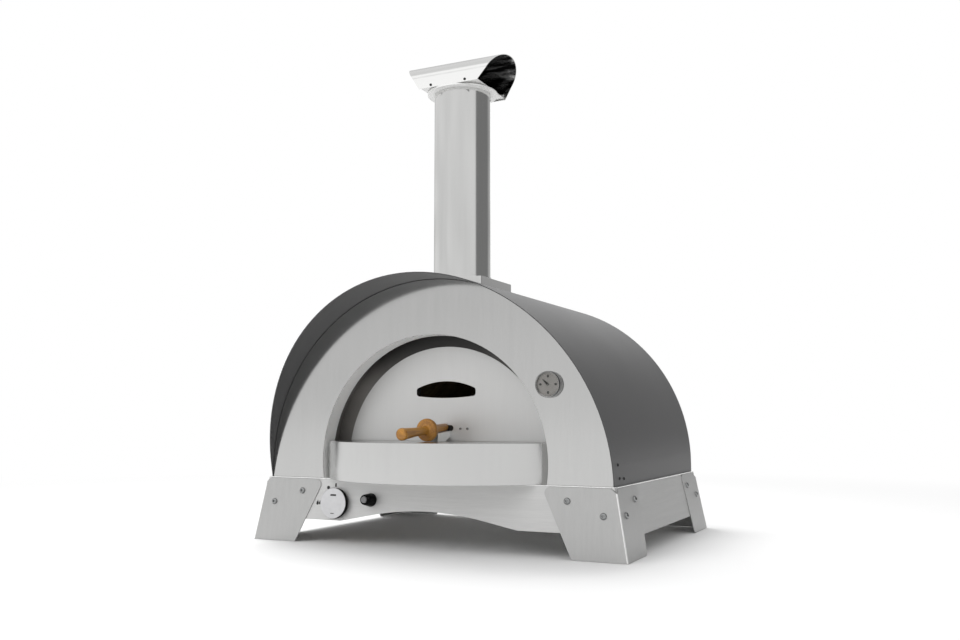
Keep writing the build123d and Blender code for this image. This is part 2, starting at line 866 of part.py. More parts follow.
with BuildPart() as door_plug:
    add(slab(
        cut_disc_face(plug_radius, mouth_arch_height, plug_foot),
        door_y + door_skin_sheet,
        plug_thickness,
    ))
    with BuildSketch(front_plane(door_y)):
        add(plug_slot_face())
    extrude(amount=-2 * plug_thickness, mode=Mode.SUBTRACT)
    with Locations(handle_axis):
        Cylinder(rod_radius + fit_gap, 2 * (rod_depth + fit_gap), mode=Mode.SUBTRACT)
    with BuildSketch(front_plane(door_y)):
        with Locations(*[(x, door_screw_height) for x in door_screw_spots]):
            Circle(screw_radius + fit_gap)
    extrude(amount=-2 * screw_length, mode=Mode.SUBTRACT)
save(door_plug.part, "door_plug")

with BuildPart() as door_back:
    with BuildSketch(front_plane(door_y + door_skin_sheet + plug_thickness)):
        add(cut_disc_face(plug_radius, mouth_arch_height, plug_foot))
        add(plug_slot_face(), mode=Mode.SUBTRACT)
    extrude(amount=-door_back_sheet)
save(door_back.part, "door_back")

with BuildPart() as door_screws:
    with BuildSketch(front_plane(door_y)):
        with Locations(*[(x, door_screw_height) for x in door_screw_spots]):
            Circle(screw_head_radius)
    extrude(amount=screw_head_height)
    with BuildSketch(front_plane(door_y)):
        with Locations(*[(x, door_screw_height) for x in door_screw_spots]):
            Circle(screw_radius)
    extrude(amount=-screw_length)
save(door_screws.part, "door_screws")

# Handle: turned wood with a disc that keeps the hand off the door, on a steel rod
handle_length = (door_setback + handle_reach) / cos(atan(handle_dip))
neck_end_radius = 9.0
neck_radius = 11.0
disc_radius = 28.0
disc_thickness = 17.0
disc_edge = 3.5
disc_reach = 87.0
grip_waist_radius = 10.0
grip_radius = 14.6
grip_nose = 7.0
neck_gap = 1.5
grip_start = disc_reach + disc_thickness
grip_run = handle_length - grip_start
grip_shares = ((0.08, 1.0), (0.35, 1.06), (0.62, 1.22))
grip_shoulder_share = 0.8
grip_nose_share = 0.3


def handle_face():
    """Half of the handle's outline: x is the radius, y the distance from the door."""
    grip_points = [
        (grip_waist_radius * swell, grip_start + along * grip_run) for along, swell in grip_shares
    ]
    shoulder = (grip_radius, handle_length - grip_nose)
    with BuildSketch() as outline:
        with BuildLine():
            Polyline(
                (0, neck_gap),
                (neck_end_radius, neck_gap),
                (neck_radius, disc_reach - neck_gap),
                (disc_radius - disc_edge, disc_reach),
            )
            ThreePointArc(
                (disc_radius - disc_edge, disc_reach),
                (disc_radius, disc_reach + disc_thickness / 2),
                (disc_radius - disc_edge, disc_reach + disc_thickness),
            )
            Line((disc_radius - disc_edge, grip_start), grip_points[0])
            Spline(*grip_points, shoulder)
            ThreePointArc(
                shoulder,
                (
                    grip_radius * grip_shoulder_share,
                    handle_length - grip_nose * grip_nose_share,
                ),
                (grip_radius / 3, handle_length),
            )
            Polyline((grip_radius / 3, handle_length), (0, handle_length), (0, neck_gap))
        make_face()
    return outline.sketch


with BuildPart() as wooden_handle:
    with BuildSketch(Plane(origin=handle_axis.origin, x_dir=(1, 0, 0), z_dir=(0, handle_dip, -1))):
        add(handle_face())
    revolve(axis=Axis(handle_axis.origin, handle_axis.z_dir))
    with Locations(handle_axis):
        Cylinder(
            rod_radius + running_gap,
            rod_reach,
            align=(Align.CENTER, Align.CENTER, Align.MIN),
            mode=Mode.SUBTRACT,
        )
save(wooden_handle.part, "wooden_handle")

with BuildPart() as handle_rod:
    with Locations(handle_axis):
        Cylinder(rod_radius, rod_reach, align=(Align.CENTER, Align.CENTER, Align.MIN))
        Cylinder(rod_radius, rod_depth, align=(Align.CENTER, Align.CENTER, Align.MAX))
save(handle_rod.part, "handle_rod")

# Bracket: a channel under the neck that keeps the handle level on the shelf
bracket_half_width = 13.0
bracket_reach = 62.0
bracket_notch_reach = 25.0
bracket_notch_height = 265.0
bracket_foot = door_foot
bracket_rear_top = handle_height - neck_end_radius - 2 * fit_gap
neck_growth = (neck_radius - neck_end_radius) / (disc_reach - 2 * neck_gap)
bracket_front_top = bracket_rear_top - (handle_dip + neck_growth) * bracket_reach
with BuildPart() as handle_bracket:
    with BuildSketch(side_plane(0)):
        add(polygon_face((
            (door_y - bracket_reach, bracket_foot),
            (door_y - bracket_reach, bracket_front_top),
            (door_y, bracket_rear_top),
            (door_y, bracket_notch_height),
            (door_y - bracket_notch_reach, bracket_foot),
        )))
    extrude(amount=bracket_half_width, both=True)
    with BuildSketch(side_plane(0)):
        add(polygon_face((
            (door_y - bracket_reach - cut_overrun, bracket_foot - cut_overrun),
            (door_y - bracket_reach - cut_overrun, bracket_front_top - shell_sheet),
            (door_y - bracket_reach, bracket_front_top - shell_sheet),
            (door_y - shell_sheet, bracket_rear_top - shell_sheet),
            (door_y - shell_sheet, bracket_foot - cut_overrun),
        )))
    extrude(amount=bracket_half_width - shell_sheet, both=True, mode=Mode.SUBTRACT)
save(handle_bracket.part, "handle_bracket")

# Flue collar: a box that sits astride the casing
collar_half_width = 100.0
collar_half_depth = 94.0
collar_corner = 4.0
collar_foot = casing_arch_height + sqrt(casing_radius**2 - collar_half_width**2) - cut_overrun
with BuildPart() as flue_collar:
    with BuildSketch(Plane.XY.offset(collar_foot)):
        with Locations((0, flue_y)):
            RectangleRounded(2 * collar_half_width, 2 * collar_half_depth, collar_corner)
    extrude(amount=collar_height - collar_foot)
    with BuildSketch(Plane.XY.offset(collar_foot)):
        with Locations((0, flue_y)):
            RectangleRounded(
                2 * (collar_half_width - shell_sheet),
                2 * (collar_half_depth - shell_sheet),
                collar_corner - shell_sheet,
            )
    extrude(amount=collar_height - shell_sheet - collar_foot, mode=Mode.SUBTRACT)
    with BuildSketch(Plane.XY.offset(collar_foot)):
        with Locations((0, flue_y)):
            Circle(flue_radius + fit_gap)
    extrude(amount=collar_height, mode=Mode.SUBTRACT)
    with BuildSketch(front_plane(flue_y)):
        with Locations((0, casing_arch_height)):
            Circle(casing_radius + fit_gap)
    extrude(amount=2 * collar_half_depth, both=True, mode=Mode.SUBTRACT)
save(flue_collar.part, "flue_collar")


def tube(foot, head, outer, inner):
    """An upright tube on the flue's axis."""
    with BuildPart() as pipe:
        with BuildSketch(Plane.XY.offset(foot)):
            with Locations((0, flue_y)):
                Circle(outer)
                Circle(inner, mode=Mode.SUBTRACT)
        extrude(amount=head - foot)
    return pipe.part


duct_clear = 3.0
duct_foot = mouth_arch_height + sqrt(chamber_radius**2 - flue_radius**2) + duct_clear
with BuildPart() as smoke_duct:
    add(tube(duct_foot, collar_height, flue_radius, flue_radius - flue_sheet))
save(smoke_duct.part, "smoke_duct")

with BuildPart() as flue_pipe:
    add(tube(collar_height, flue_top, flue_radius, flue_radius - flue_sheet))
save(flue_pipe.part, "flue_pipe")

flange_width = 15.0
flange_rise = 11.0
with BuildPart() as flue_flange:
    add(tube(
        collar_height,
        collar_height + flue_sheet,
        flue_radius + flange_width,
        flue_radius + fit_gap,
    ))
    add(tube(
        collar_height,
        collar_height + flange_rise,
        flue_radius + fit_gap + flue_sheet,
        flue_radius + fit_gap,
    ))
save(flue_flange.part, "flue_flange")

# Cowl: a folded sheet trough, upside down, with sloping open ends
cowl_lap = 4.5
cowl_foot = flue_top - cowl_lap
cowl_foot_half_length = 85.3
cowl_end_slope = 0.7
cowl_crease_rise = 31.0
cowl_crease_inset = 7.0
cowl_rise = 82.5
cowl_screw_x = 50.0
cowl_screw_rise = 7.0
cowl_lean = cowl_crease_inset / cowl_crease_rise
half_turn = 180


def cowl_face(inset):
    """The cowl's section across its length, drawn in by inset."""
    foot = cowl_half_width - inset
    crease = foot - cowl_crease_inset
    crease_height = cowl_foot + cowl_crease_rise
    with BuildSketch() as outline:
        with BuildLine():
            Polyline(
                (flue_y + crease, crease_height),
                (flue_y + foot, cowl_foot),
                (flue_y - foot, cowl_foot),
                (flue_y - crease, crease_height),
            )
            EllipticalCenterArc(
                (flue_y, crease_height),
                crease,
                cowl_rise - cowl_crease_rise - inset,
                start_angle=0,
                arc_size=half_turn,
            )
        make_face()
    return outline.sketch


cowl_head_half_length = cowl_foot_half_length + cowl_end_slope * cowl_rise
cowl_screw_planes = [
    Plane(
        origin=(
            x,
            flue_y + end * (cowl_half_width - cowl_lean * cowl_screw_rise),
            cowl_foot + cowl_screw_rise,
        ),
        x_dir=(1, 0, 0),
        z_dir=(0, end, cowl_lean),
    )
    for end in (-1, 1)
    for x in (-cowl_screw_x, cowl_screw_x)
]
with BuildPart() as cowl:
    with BuildSketch(side_plane(0)):
        add(cowl_face(0))
        add(cowl_face(cowl_sheet), mode=Mode.SUBTRACT)
    extrude(amount=cowl_head_half_length, both=True)
    with BuildSketch(front_plane(flue_y)):
        add(polygon_face((
            (-cowl_foot_half_length, cowl_foot),
            (-cowl_head_half_length, cowl_foot + cowl_rise),
            (cowl_head_half_length, cowl_foot + cowl_rise),
            (cowl_foot_half_length, cowl_foot),
        )))
    extrude(amount=2 * cowl_half_width, both=True, mode=Mode.INTERSECT)
    with Locations(*cowl_screw_planes):
        Cylinder(screw_radius + fit_gap, 4 * cowl_sheet, mode=Mode.SUBTRACT)
save(cowl.part, "cowl")

# Cap ring: a wide ring under the cowl, a neck round the pipe's top, and a flanged plate that the
# cowl is screwed to
ring_drop = 8.7
ring_rise = 3.7
ring_foot = flue_top - ring_drop
cap_ring_radius = 94.4
cap_half_depth = (
    cowl_half_width - cowl_sheet - cowl_lean * (flue_top - cowl_foot) - 2 * fit_gap
)
cap_flange_rise = 9.0
cap_flange_inset = 3.0
cap_half_width = 84.0
cap_plate_foot = flue_top - cowl_sheet
with BuildPart() as cap_ring:
    add(tube(ring_foot, ring_foot + ring_rise, cap_ring_radius, flue_radius + fit_gap))
    add(tube(ring_foot, flue_top, flue_radius + fit_gap + cowl_sheet, flue_radius + fit_gap))
    with BuildSketch(Plane.XY.offset(cap_plate_foot)):
        with Locations((0, flue_y)):
            Rectangle(2 * cap_half_width, 2 * (cap_half_depth - cap_flange_inset))
            Circle(flue_radius + fit_gap, mode=Mode.SUBTRACT)
    extrude(amount=cowl_sheet)
    with BuildSketch(Plane.XY.offset(flue_top)):
        for end in (-1, 1):
            flange_y = flue_y + end * (cap_half_depth - cap_flange_inset - cowl_sheet / 2)
            with Locations((0, flange_y)):
                Rectangle(2 * cap_half_width, cowl_sheet)
    extrude(amount=cap_flange_rise)
    with Locations(*cowl_screw_planes):
        Cylinder(screw_radius + fit_gap, 2 * screw_length, mode=Mode.SUBTRACT)
save(cap_ring.part, "cap_ring")

# Sheet screws of the casing and the cowl
with BuildPart() as sheet_screws:
    with Locations(*casing_screw_planes(), *cowl_screw_planes):
        Cylinder(
            screw_head_radius, screw_head_height, align=(Align.CENTER, Align.CENTER, Align.MIN)
        )
        Cylinder(screw_radius, screw_length, align=(Align.CENTER, Align.CENTER, Align.MAX))
save(sheet_screws.part, "sheet_screws")

# Thermometer: a cup on the faceplate with a dial, a needle and a glass
gauge_radius = 30.5
gauge_front_radius = 30.3
gauge_proud = 15.0
dial_seat = 8.0
dial_radius = 27.2
dial_sheet = 1.0
glass_seat = 12.6
glass_sheet = 2.0
glass_radius = 28.3
needle_clear = 1.5
needle_sheet = 0.8
needle_length = 17.0
needle_tail = 7.0
needle_width = 2.6
needle_hub_radius = 3.2
pin_radius = 1.0
with BuildPart() as gauge_housing:
    with Locations(gauge_spot):
        Cone(
            gauge_radius,
            gauge_front_radius,
            gauge_proud,
            align=(Align.CENTER, Align.CENTER, Align.MIN),
        )
        Cylinder(
            gauge_neck_radius,
            shell_sheet + 2 * gauge_nut_height,
            align=(Align.CENTER, Align.CENTER, Align.MAX),
        )
    with Locations(gauge_spot.offset(dial_seat)):
        Cylinder(
            dial_radius + fit_gap,
            gauge_proud,
            align=(Align.CENTER, Align.CENTER, Align.MIN),
            mode=Mode.SUBTRACT,
        )
    with Locations(gauge_spot.offset(glass_seat)):
        Cylinder(
            glass_radius + fit_gap,
            gauge_proud,
            align=(Align.CENTER, Align.CENTER, Align.MIN),
            mode=Mode.SUBTRACT,
        )
    with Locations(gauge_spot):
        Cylinder(
            gauge_probe_radius,
            gauge_probe_reach,
            align=(Align.CENTER, Align.CENTER, Align.MAX),
        )
save(gauge_housing.part, "gauge_housing")

with BuildPart() as gauge_dial:
    with Locations(gauge_spot.offset(dial_seat)):
        Cylinder(dial_radius, dial_sheet, align=(Align.CENTER, Align.CENTER, Align.MIN))
        Cylinder(
            pin_radius,
            dial_sheet + needle_clear + 2 * needle_sheet,
            align=(Align.CENTER, Align.CENTER, Align.MIN),
        )
save(gauge_dial.part, "gauge_dial")

needle_angle = 47.0
with BuildPart() as gauge_needle:
    with BuildSketch(gauge_spot.offset(dial_seat + dial_sheet + needle_clear)):
        Circle(needle_hub_radius)
        with Locations(Location((0, 0), needle_angle)):
            Rectangle(needle_width, needle_length, align=(Align.CENTER, Align.MIN))
            Rectangle(needle_width, needle_tail, align=(Align.CENTER, Align.MAX))
        Circle(pin_radius + running_gap, mode=Mode.SUBTRACT)
    extrude(amount=needle_sheet)
save(gauge_needle.part, "gauge_needle")

with BuildPart() as gauge_glass:
    with Locations(gauge_spot.offset(glass_seat)):
        Cylinder(glass_radius, glass_sheet, align=(Align.CENTER, Align.CENTER, Align.MIN))
save(gauge_glass.part, "gauge_glass")

with BuildPart() as gauge_nut:
    with BuildSketch(gauge_spot.offset(-shell_sheet)):
        RegularPolygon(gauge_nut_radius, 6)
        Circle(gauge_neck_radius + running_gap, mode=Mode.SUBTRACT)
    extrude(amount=-gauge_nut_height)
save(gauge_nut.part, "gauge_nut")

# Gas valve behind the apron, its sprung plunger and spindle, and the knob in front
valve_face = -panel_sheet
valve_half_width = 22.0
valve_half_height = 28.0
valve_depth = 38.0
valve_edge = 3.0
valve_wall = 6.0
plunger_radius = 9.0
plunger_length = 23.0
plunger_front = valve_face - running_gap
push_travel = 4.0
spindle_back = 1.0
knob_gap = push_travel + fit_gap
knob_radius = 38.0
knob_thickness = 12.3
knob_edge = 1.0
spindle_grip = 9.0
spindle_flat_share = 0.6
knob_spot = control_plane(knob_x, knob_height)
valve_back = valve_face - valve_depth
bore_back = valve_back + valve_wall
plunger_back = plunger_front - plunger_length
at_front = (Align.CENTER, Align.CENTER, Align.MAX)
at_back = (Align.CENTER, Align.CENTER, Align.MIN)
with BuildPart() as gas_valve:
    with BuildSketch(knob_spot.offset(valve_face)):
        RectangleRounded(2 * valve_half_width, 2 * valve_half_height, valve_edge)
    extrude(amount=-valve_depth)
    with BuildSketch(knob_spot.offset(valve_face)):
        Circle(plunger_radius + running_gap)
    extrude(amount=bore_back - valve_face, mode=Mode.SUBTRACT)
save(gas_valve.part, "gas_valve")

with BuildPart() as valve_plunger:
    with BuildSketch(knob_spot.offset(plunger_front)):
        Circle(plunger_radius)
        Circle(spindle_radius + running_gap, mode=Mode.SUBTRACT)
    extrude(amount=-plunger_length)
save(valve_plunger.part, "valve_plunger")

spindle_front = knob_gap + spindle_grip
spindle_length = spindle_front - plunger_back - spindle_back
with BuildPart() as valve_spindle:
    with Locations(knob_spot.offset(spindle_front)):
        Cylinder(spindle_radius, spindle_length, align=at_front)
    with BuildSketch(knob_spot.offset(spindle_front)):
        with Locations((0, spindle_radius * spindle_flat_share)):
            Rectangle(3 * spindle_radius, spindle_radius, align=(Align.CENTER, Align.MIN))
    extrude(amount=-spindle_grip, mode=Mode.SUBTRACT)
save(valve_spindle.part, "valve_spindle")


def coil(plane, radius, wire, turns, room):
    """A spring wound on the plane's axis that fills the room in front of the plane."""
    rise = room - 2 * (wire + running_gap)
    path = plane.offset(wire + running_gap).location * Helix(rise / turns, rise, radius)
    with BuildPart() as spring:
        with BuildSketch(Plane(origin=path @ 0, z_dir=path % 0)):
            Circle(wire)
        sweep(path=path)
    return spring.part


valve_spring_radius = 6.6
valve_wire = 0.5
valve_spring_turns = 3
with BuildPart() as valve_spring:
    add(coil(
        knob_spot.offset(bore_back),
        valve_spring_radius,
        valve_wire,
        valve_spring_turns,
        plunger_back - bore_back,
    ))
save(valve_spring.part, "valve_spring")

pointer_height = 20.0
pointer_length = 15.0
pointer_width = 3.5
pointer_depth = 1.2
with BuildPart() as control_knob:
    with Locations(knob_spot.offset(knob_gap)):
        Cylinder(knob_radius, knob_thickness, align=at_back)
    front_face = control_knob.faces().sort_by(Axis(knob_spot.origin, knob_spot.z_dir))[-1]
    chamfer(front_face.edges(), knob_edge)
    with BuildSketch(knob_spot.offset(knob_gap + knob_thickness)):
        with Locations((0, pointer_height)):
            Rectangle(pointer_length, pointer_width)
    extrude(amount=-pointer_depth, mode=Mode.SUBTRACT)
    with BuildSketch(knob_spot.offset(knob_gap)):
        Circle(spindle_radius + running_gap)
        with Locations((0, spindle_radius * spindle_flat_share + running_gap)):
            Rectangle(
                3 * spindle_radius,
                spindle_radius,
                align=(Align.CENTER, Align.MIN),
                mode=Mode.SUBTRACT,
            )
    extrude(amount=spindle_grip + running_gap, mode=Mode.SUBTRACT)
save(control_knob.part, "control_knob")

# Igniter: a bezel in front of the apron, its body behind, and a sprung button
igniter_spot = control_plane(igniter_x, igniter_height)
bezel_radius = 16.4
bezel_front_radius = 10.4
bezel_proud = 30.0
bezel_neck_length = 15.0
button_radius = 7.8
button_proud = 5.5
button_seat = 6.0
button_travel = 5.0
stem_radius = 3.0
stem_length = 16.0
igniter_body_radius = 14.0
igniter_body_length = 46.0
igniter_pocket = 30.0
with BuildPart() as igniter_bezel:
    with Locations(igniter_spot):
        Cone(bezel_radius, bezel_front_radius, bezel_proud, align=at_back)
        Cylinder(igniter_neck_radius, panel_sheet + bezel_neck_length, align=at_front)
    with Locations(igniter_spot):
        Cylinder(button_radius + fit_gap, 4 * bezel_proud, mode=Mode.SUBTRACT)
save(igniter_bezel.part, "igniter_bezel")

with BuildPart() as igniter_body:
    with Locations(igniter_spot.offset(-panel_sheet)):
        Cylinder(igniter_body_radius, igniter_body_length, align=at_front)
    with Locations(igniter_spot.offset(-panel_sheet)):
        Cylinder(
            igniter_neck_radius + running_gap,
            bezel_neck_length + running_gap,
            align=at_front,
            mode=Mode.SUBTRACT,
        )
        Cylinder(button_radius + fit_gap, igniter_pocket, align=at_front, mode=Mode.SUBTRACT)
save(igniter_body.part, "igniter_body")

button_back = -button_seat
button_front = bezel_proud + button_proud
with BuildPart() as igniter_button:
    with Locations(igniter_spot.offset(button_back)):
        Cylinder(button_radius, button_front - button_back, align=at_back)
        Cylinder(stem_radius, stem_length, align=at_front)
    fillet(
        igniter_button.faces().sort_by(Axis(igniter_spot.origin, igniter_spot.z_dir))[-1].edges(),
        button_radius / 5,
    )
save(igniter_button.part, "igniter_button")

igniter_spring_radius = 5.4
igniter_wire = 0.6
igniter_spring_turns = 8
igniter_spring_seat = -panel_sheet - igniter_pocket
with BuildPart() as igniter_spring:
    add(coil(
        igniter_spot.offset(igniter_spring_seat),
        igniter_spring_radius,
        igniter_wire,
        igniter_spring_turns,
        button_back - igniter_spring_seat,
    ))
save(igniter_spring.part, "igniter_spring")

# Gas line: a pipe from the rear connection to the valve, and a feed pipe up to the burner
feed_rise = 14.0
feed_run = 55.0
feed_bend = 24.0
feed_start = knob_spot.offset(valve_back).from_local_coords((0, feed_rise, 0))
feed_turn = knob_spot.offset(valve_back - feed_run).from_local_coords((0, feed_rise, 0))
feed_top = burner_height - burner_radius / 2
with BuildPart() as burner_feed_pipe:
    with BuildLine() as feed_path:
        FilletPolyline(
            feed_start,
            feed_turn,
            (burner_x, riser_y, feed_turn.Z),
            (burner_x, riser_y, feed_top),
            radius=feed_bend,
        )
    with BuildSketch(Plane(origin=feed_path.line @ 0, z_dir=feed_path.line % 0)):
        Circle(gas_pipe_radius)
        Circle(gas_pipe_radius - gas_pipe_wall, mode=Mode.SUBTRACT)
    sweep()
save(burner_feed_pipe.part, "burner_feed_pipe")

inlet_stub = 9.5
inlet_thread_length = 7.0
inlet_neck_radius = 5.9
inlet_hex_radius = 12.0
inlet_hex_length = 12.0
valve_back_spot = knob_spot.offset(valve_back).origin
pipe_start_y = (
    valve_back_spot.Y
    + end_slope * (inlet_height + gas_pipe_radius - valve_back_spot.Z)
    + fit_gap
)
rear_skin_y = rear_y - skin_stack - end_slope * (inlet_height + inlet_hex_radius) - fit_gap
inlet_hex_y = rear_skin_y - inlet_hex_length
inlet_end_y = rear_y - leg_sheet - end_slope * inlet_height + inlet_stub
inlet_thread_y = inlet_end_y - inlet_thread_length
with BuildPart() as gas_inlet_pipe:
    with BuildSketch(front_plane(pipe_start_y)):
        with Locations((knob_x, inlet_height)):
            Circle(gas_pipe_radius)
    extrude(amount=-(inlet_hex_y - pipe_start_y))
    with BuildSketch(front_plane(inlet_hex_y)):
        with Locations((knob_x, inlet_height)):
            RegularPolygon(inlet_hex_radius, 6)
    extrude(amount=-inlet_hex_length)
    with BuildSketch(front_plane(rear_skin_y)):
        with Locations((knob_x, inlet_height)):
            Circle(inlet_neck_radius)
    extrude(amount=-(inlet_thread_y - rear_skin_y))
    with BuildSketch(front_plane(inlet_thread_y)):
        with Locations((knob_x, inlet_height)):
            Circle(inlet_thread_radius)
    extrude(amount=-inlet_thread_length)
    with BuildSketch(front_plane(pipe_start_y)):
        with Locations((knob_x, inlet_height)):
            Circle(gas_pipe_radius - gas_pipe_wall)
    extrude(amount=-(inlet_end_y - pipe_start_y), mode=Mode.SUBTRACT)
save(gas_inlet_pipe.part, "gas_inlet_pipe")
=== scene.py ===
from math import atan, cos, pi, radians, sin

import bpy
from mathutils import Matrix, Vector


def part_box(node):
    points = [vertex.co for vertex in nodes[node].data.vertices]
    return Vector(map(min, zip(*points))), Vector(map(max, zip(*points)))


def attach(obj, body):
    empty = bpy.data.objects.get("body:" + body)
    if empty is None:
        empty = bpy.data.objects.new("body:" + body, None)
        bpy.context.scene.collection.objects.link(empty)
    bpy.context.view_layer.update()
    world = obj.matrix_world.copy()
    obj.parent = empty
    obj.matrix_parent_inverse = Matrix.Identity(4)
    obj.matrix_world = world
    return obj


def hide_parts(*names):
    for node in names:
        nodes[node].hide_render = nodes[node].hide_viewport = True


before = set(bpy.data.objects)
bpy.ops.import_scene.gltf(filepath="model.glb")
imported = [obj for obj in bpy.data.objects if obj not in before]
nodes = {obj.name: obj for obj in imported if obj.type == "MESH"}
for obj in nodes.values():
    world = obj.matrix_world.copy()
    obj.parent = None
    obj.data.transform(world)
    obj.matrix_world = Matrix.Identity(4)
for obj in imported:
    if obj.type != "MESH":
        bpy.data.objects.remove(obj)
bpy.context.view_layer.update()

# Studio: the camera stands low and to the right of the mouth. The surround is seen white. Steel
# mirrors it with a grey screen at the right, dimmer sides behind, and two patches up to 1.4 times
# as bright as white, overhead in front and behind above the horizon.
bpy.context.scene.view_settings.view_transform = "Standard"
camera_data = bpy.data.cameras.new("camera")
camera_data.lens = 35.65
camera_data.sensor_width = 36.0
camera = bpy.data.objects.new("camera", camera_data)
camera.location = (1.12535, -2.3372, 0.31354)
camera.rotation_euler = (radians(95.86), 0.0, radians(25.82))
bpy.context.scene.collection.objects.link(camera)
bpy.context.scene.camera = camera


class Signal:
    """A value inside a finish, on which sums are written as plain arithmetic."""

    def __init__(self, tree, socket):
        self.tree = tree
        self.socket = socket

    def maths(self, operation, first, second):
        node = self.tree.nodes.new("ShaderNodeMath")
        node.operation = operation
        for place, value in zip(node.inputs, (first, second)):
            if isinstance(value, Signal):
                self.tree.links.new(value.socket, place)
            else:
                place.default_value = value
        return Signal(self.tree, node.outputs[0])

    def __add__(self, other):
        return self.maths("ADD", self, other)

    def __radd__(self, other):
        return self.maths("ADD", other, self)

    def __sub__(self, other):
        return self.maths("SUBTRACT", self, other)

    def __rsub__(self, other):
        return self.maths("SUBTRACT", other, self)

    def __mul__(self, other):
        return self.maths("MULTIPLY", self, other)

    def __rmul__(self, other):
        return self.maths("MULTIPLY", other, self)

    def above(self, edge, blur):
        """0 below edge and 1 above it, with a soft step as wide as blur."""
        node = self.tree.nodes.new("ShaderNodeMapRange")
        node.interpolation_type = "SMOOTHSTEP"
        self.tree.links.new(self.socket, node.inputs["Value"])
        node.inputs["From Min"].default_value = edge - blur / 2
        node.inputs["From Max"].default_value = edge + blur / 2
        return Signal(self.tree, node.outputs["Result"])


class Finish:
    """A surface finish under way: a tree of nodes that ends in one shader."""

    def __init__(self, name, tree=None):
        if tree is None:
            self.material = bpy.data.materials.new(name)
            self.material.use_nodes = True
            tree = self.material.node_tree
            self.shader = tree.nodes["Principled BSDF"]
        self.tree = tree

    def node(self, kind, settings=None, sockets=None, output=0):
        made = self.tree.nodes.new(kind)
        for key, value in (settings or {}).items():
            setattr(made, key, value)
        for key, value in (sockets or {}).items():
            if isinstance(value, Signal):
                self.tree.links.new(value.socket, made.inputs[key])
            else:
                made.inputs[key].default_value = value
        return Signal(self.tree, made.outputs[output])

    def place(self, scale=(1, 1, 1)):
        """The object's own coordinates, stretched."""
        spot = self.node("ShaderNodeTexCoord", output="Object")
        return self.node("ShaderNodeMapping", {}, {"Vector": spot, "Scale": scale})

    def noise(self, spot, scale, detail=3.0, roughness=0.5):
        sockets = {"Vector": spot, "Scale": scale, "Detail": detail, "Roughness": roughness}
        return self.node("ShaderNodeTexNoise", {}, sockets)

    def blend(self, share, first, second):
        """A colour between first and second, each of them three numbers or made by a node."""
        first, second = [
            colour if isinstance(colour, Signal) else (*colour, 1.0) for colour in (first, second)
        ]
        colours = {"Factor": share, 6: first, 7: second}
        return self.node("ShaderNodeMix", {"data_type": "RGBA"}, colours, 2)

    def bump(self, height, strength, distance):
        sockets = {"Height": height, "Strength": strength, "Distance": distance}
        return self.node("ShaderNodeBump", {}, sockets)

    def set(self, **values):
        """Give the shader's sockets their values or links."""
        for key, value in values.items():
            place = self.shader.inputs[key.replace("_", " ")]
            if isinstance(value, Signal):
                self.tree.links.new(value.socket, place)
            else:
                place.default_value = value
        return self.material


surround = bpy.data.worlds.new("surround")
surround.use_nodes = True
bpy.context.scene.world = surround
air = Finish("surround", surround.node_tree)
look = air.node("ShaderNodeTexCoord", output="Generated")
across = air.node("ShaderNodeSeparateXYZ", {}, {"Vector": look}, "X")
along = air.node("ShaderNodeSeparateXYZ", {}, {"Vector": look}, "Y")
upward = air.node("ShaderNodeSeparateXYZ", {}, {"Vector": look}, "Z")
screen = across.above(0.05, 0.10) * along.above(-0.14, 0.12)
screen = screen * (1.0 - (along - across * 1.5).above(0.18, 0.40))
rear = along.above(0.55, 0.50)
dim_right = rear * across.above(0.06, 0.24)
dim_left = rear * (1.0 - across.above(-0.36, 0.12))
glow = rear * upward.above(0.14, 0.16) * across.above(-0.36, 0.12) * (1.0 - across.above(0.0, 0.20))
canopy = upward.above(0.50, 0.30) * (1.0 - along.above(-0.40, 0.20))
band_spot = air.node("ShaderNodeMapping", {}, {"Vector": look, "Scale": (0.8, 0.8, 11.0)})
bands = air.noise(band_spot, 1.5, 2.0).above(0.50, 0.30) * (1.0 - upward.above(0.35, 0.3))
mirrored = 0.93 - 0.42 * dim_right - 0.30 * dim_left - 0.14 * bands + 0.45 * canopy + 0.4 * glow
mirrored = mirrored * (1.0 - screen) + 0.23 * screen
paths = air.node("ShaderNodeLightPath", output="Is Camera Ray")
mirrors = air.node("ShaderNodeLightPath", output="Is Glossy Ray")
panes = air.node("ShaderNodeLightPath", output="Is Transmission Ray")
clear = paths + panes * (1.0 - paths)
shown = clear + mirrors * (1.0 - clear) * mirrored
backdrop = surround.node_tree.nodes["Background"]
spread = 0.26 + 0.50 * upward.above(0.30, 0.80)
strength = shown + spread * (1.0 - clear) * (1.0 - mirrors)
surround.node_tree.links.new(strength.socket, backdrop.inputs["Strength"])
backdrop.inputs["Color"].default_value = (1.0, 1.0, 1.0, 1.0)

# Floor: pale, seen as nearly white, and pure white from a few metres off, so that it runs into
# the surround. It keeps the oven's shadow. Steel mirrors its far part 4% brighter than white.
bpy.ops.object.select_all(action="DESELECT")
bpy.ops.mesh.primitive_plane_add(size=80.0, location=(0.0, 0.0, -0.0006))
floor = bpy.context.active_object
floor.name = "floor"
bpy.ops.object.transform_apply(location=True, rotation=True, scale=True)
ground = Finish("floor")
spot = ground.node("ShaderNodeTexCoord", output="Object")
away = ground.node("ShaderNodeVectorMath", {"operation": "LENGTH"}, {0: spot}, "Value")
gleam = ground.node("ShaderNodeLightPath", output="Is Glossy Ray")
seen = ground.node("ShaderNodeLightPath", output="Is Camera Ray") + 0.4 * gleam
pale = ground.blend(seen, (0.80, 0.80, 0.80), (0.94, 0.94, 0.94))
matte = ground.node("ShaderNodeBsdfDiffuse", {}, {"Color": pale})
white = ground.node("ShaderNodeEmission", {}, {"Strength": 1.0 + 0.04 * gleam})
far = ground.node("ShaderNodeMixShader", {}, {0: away.above(2.3, 2.2), 1: matte, 2: white})
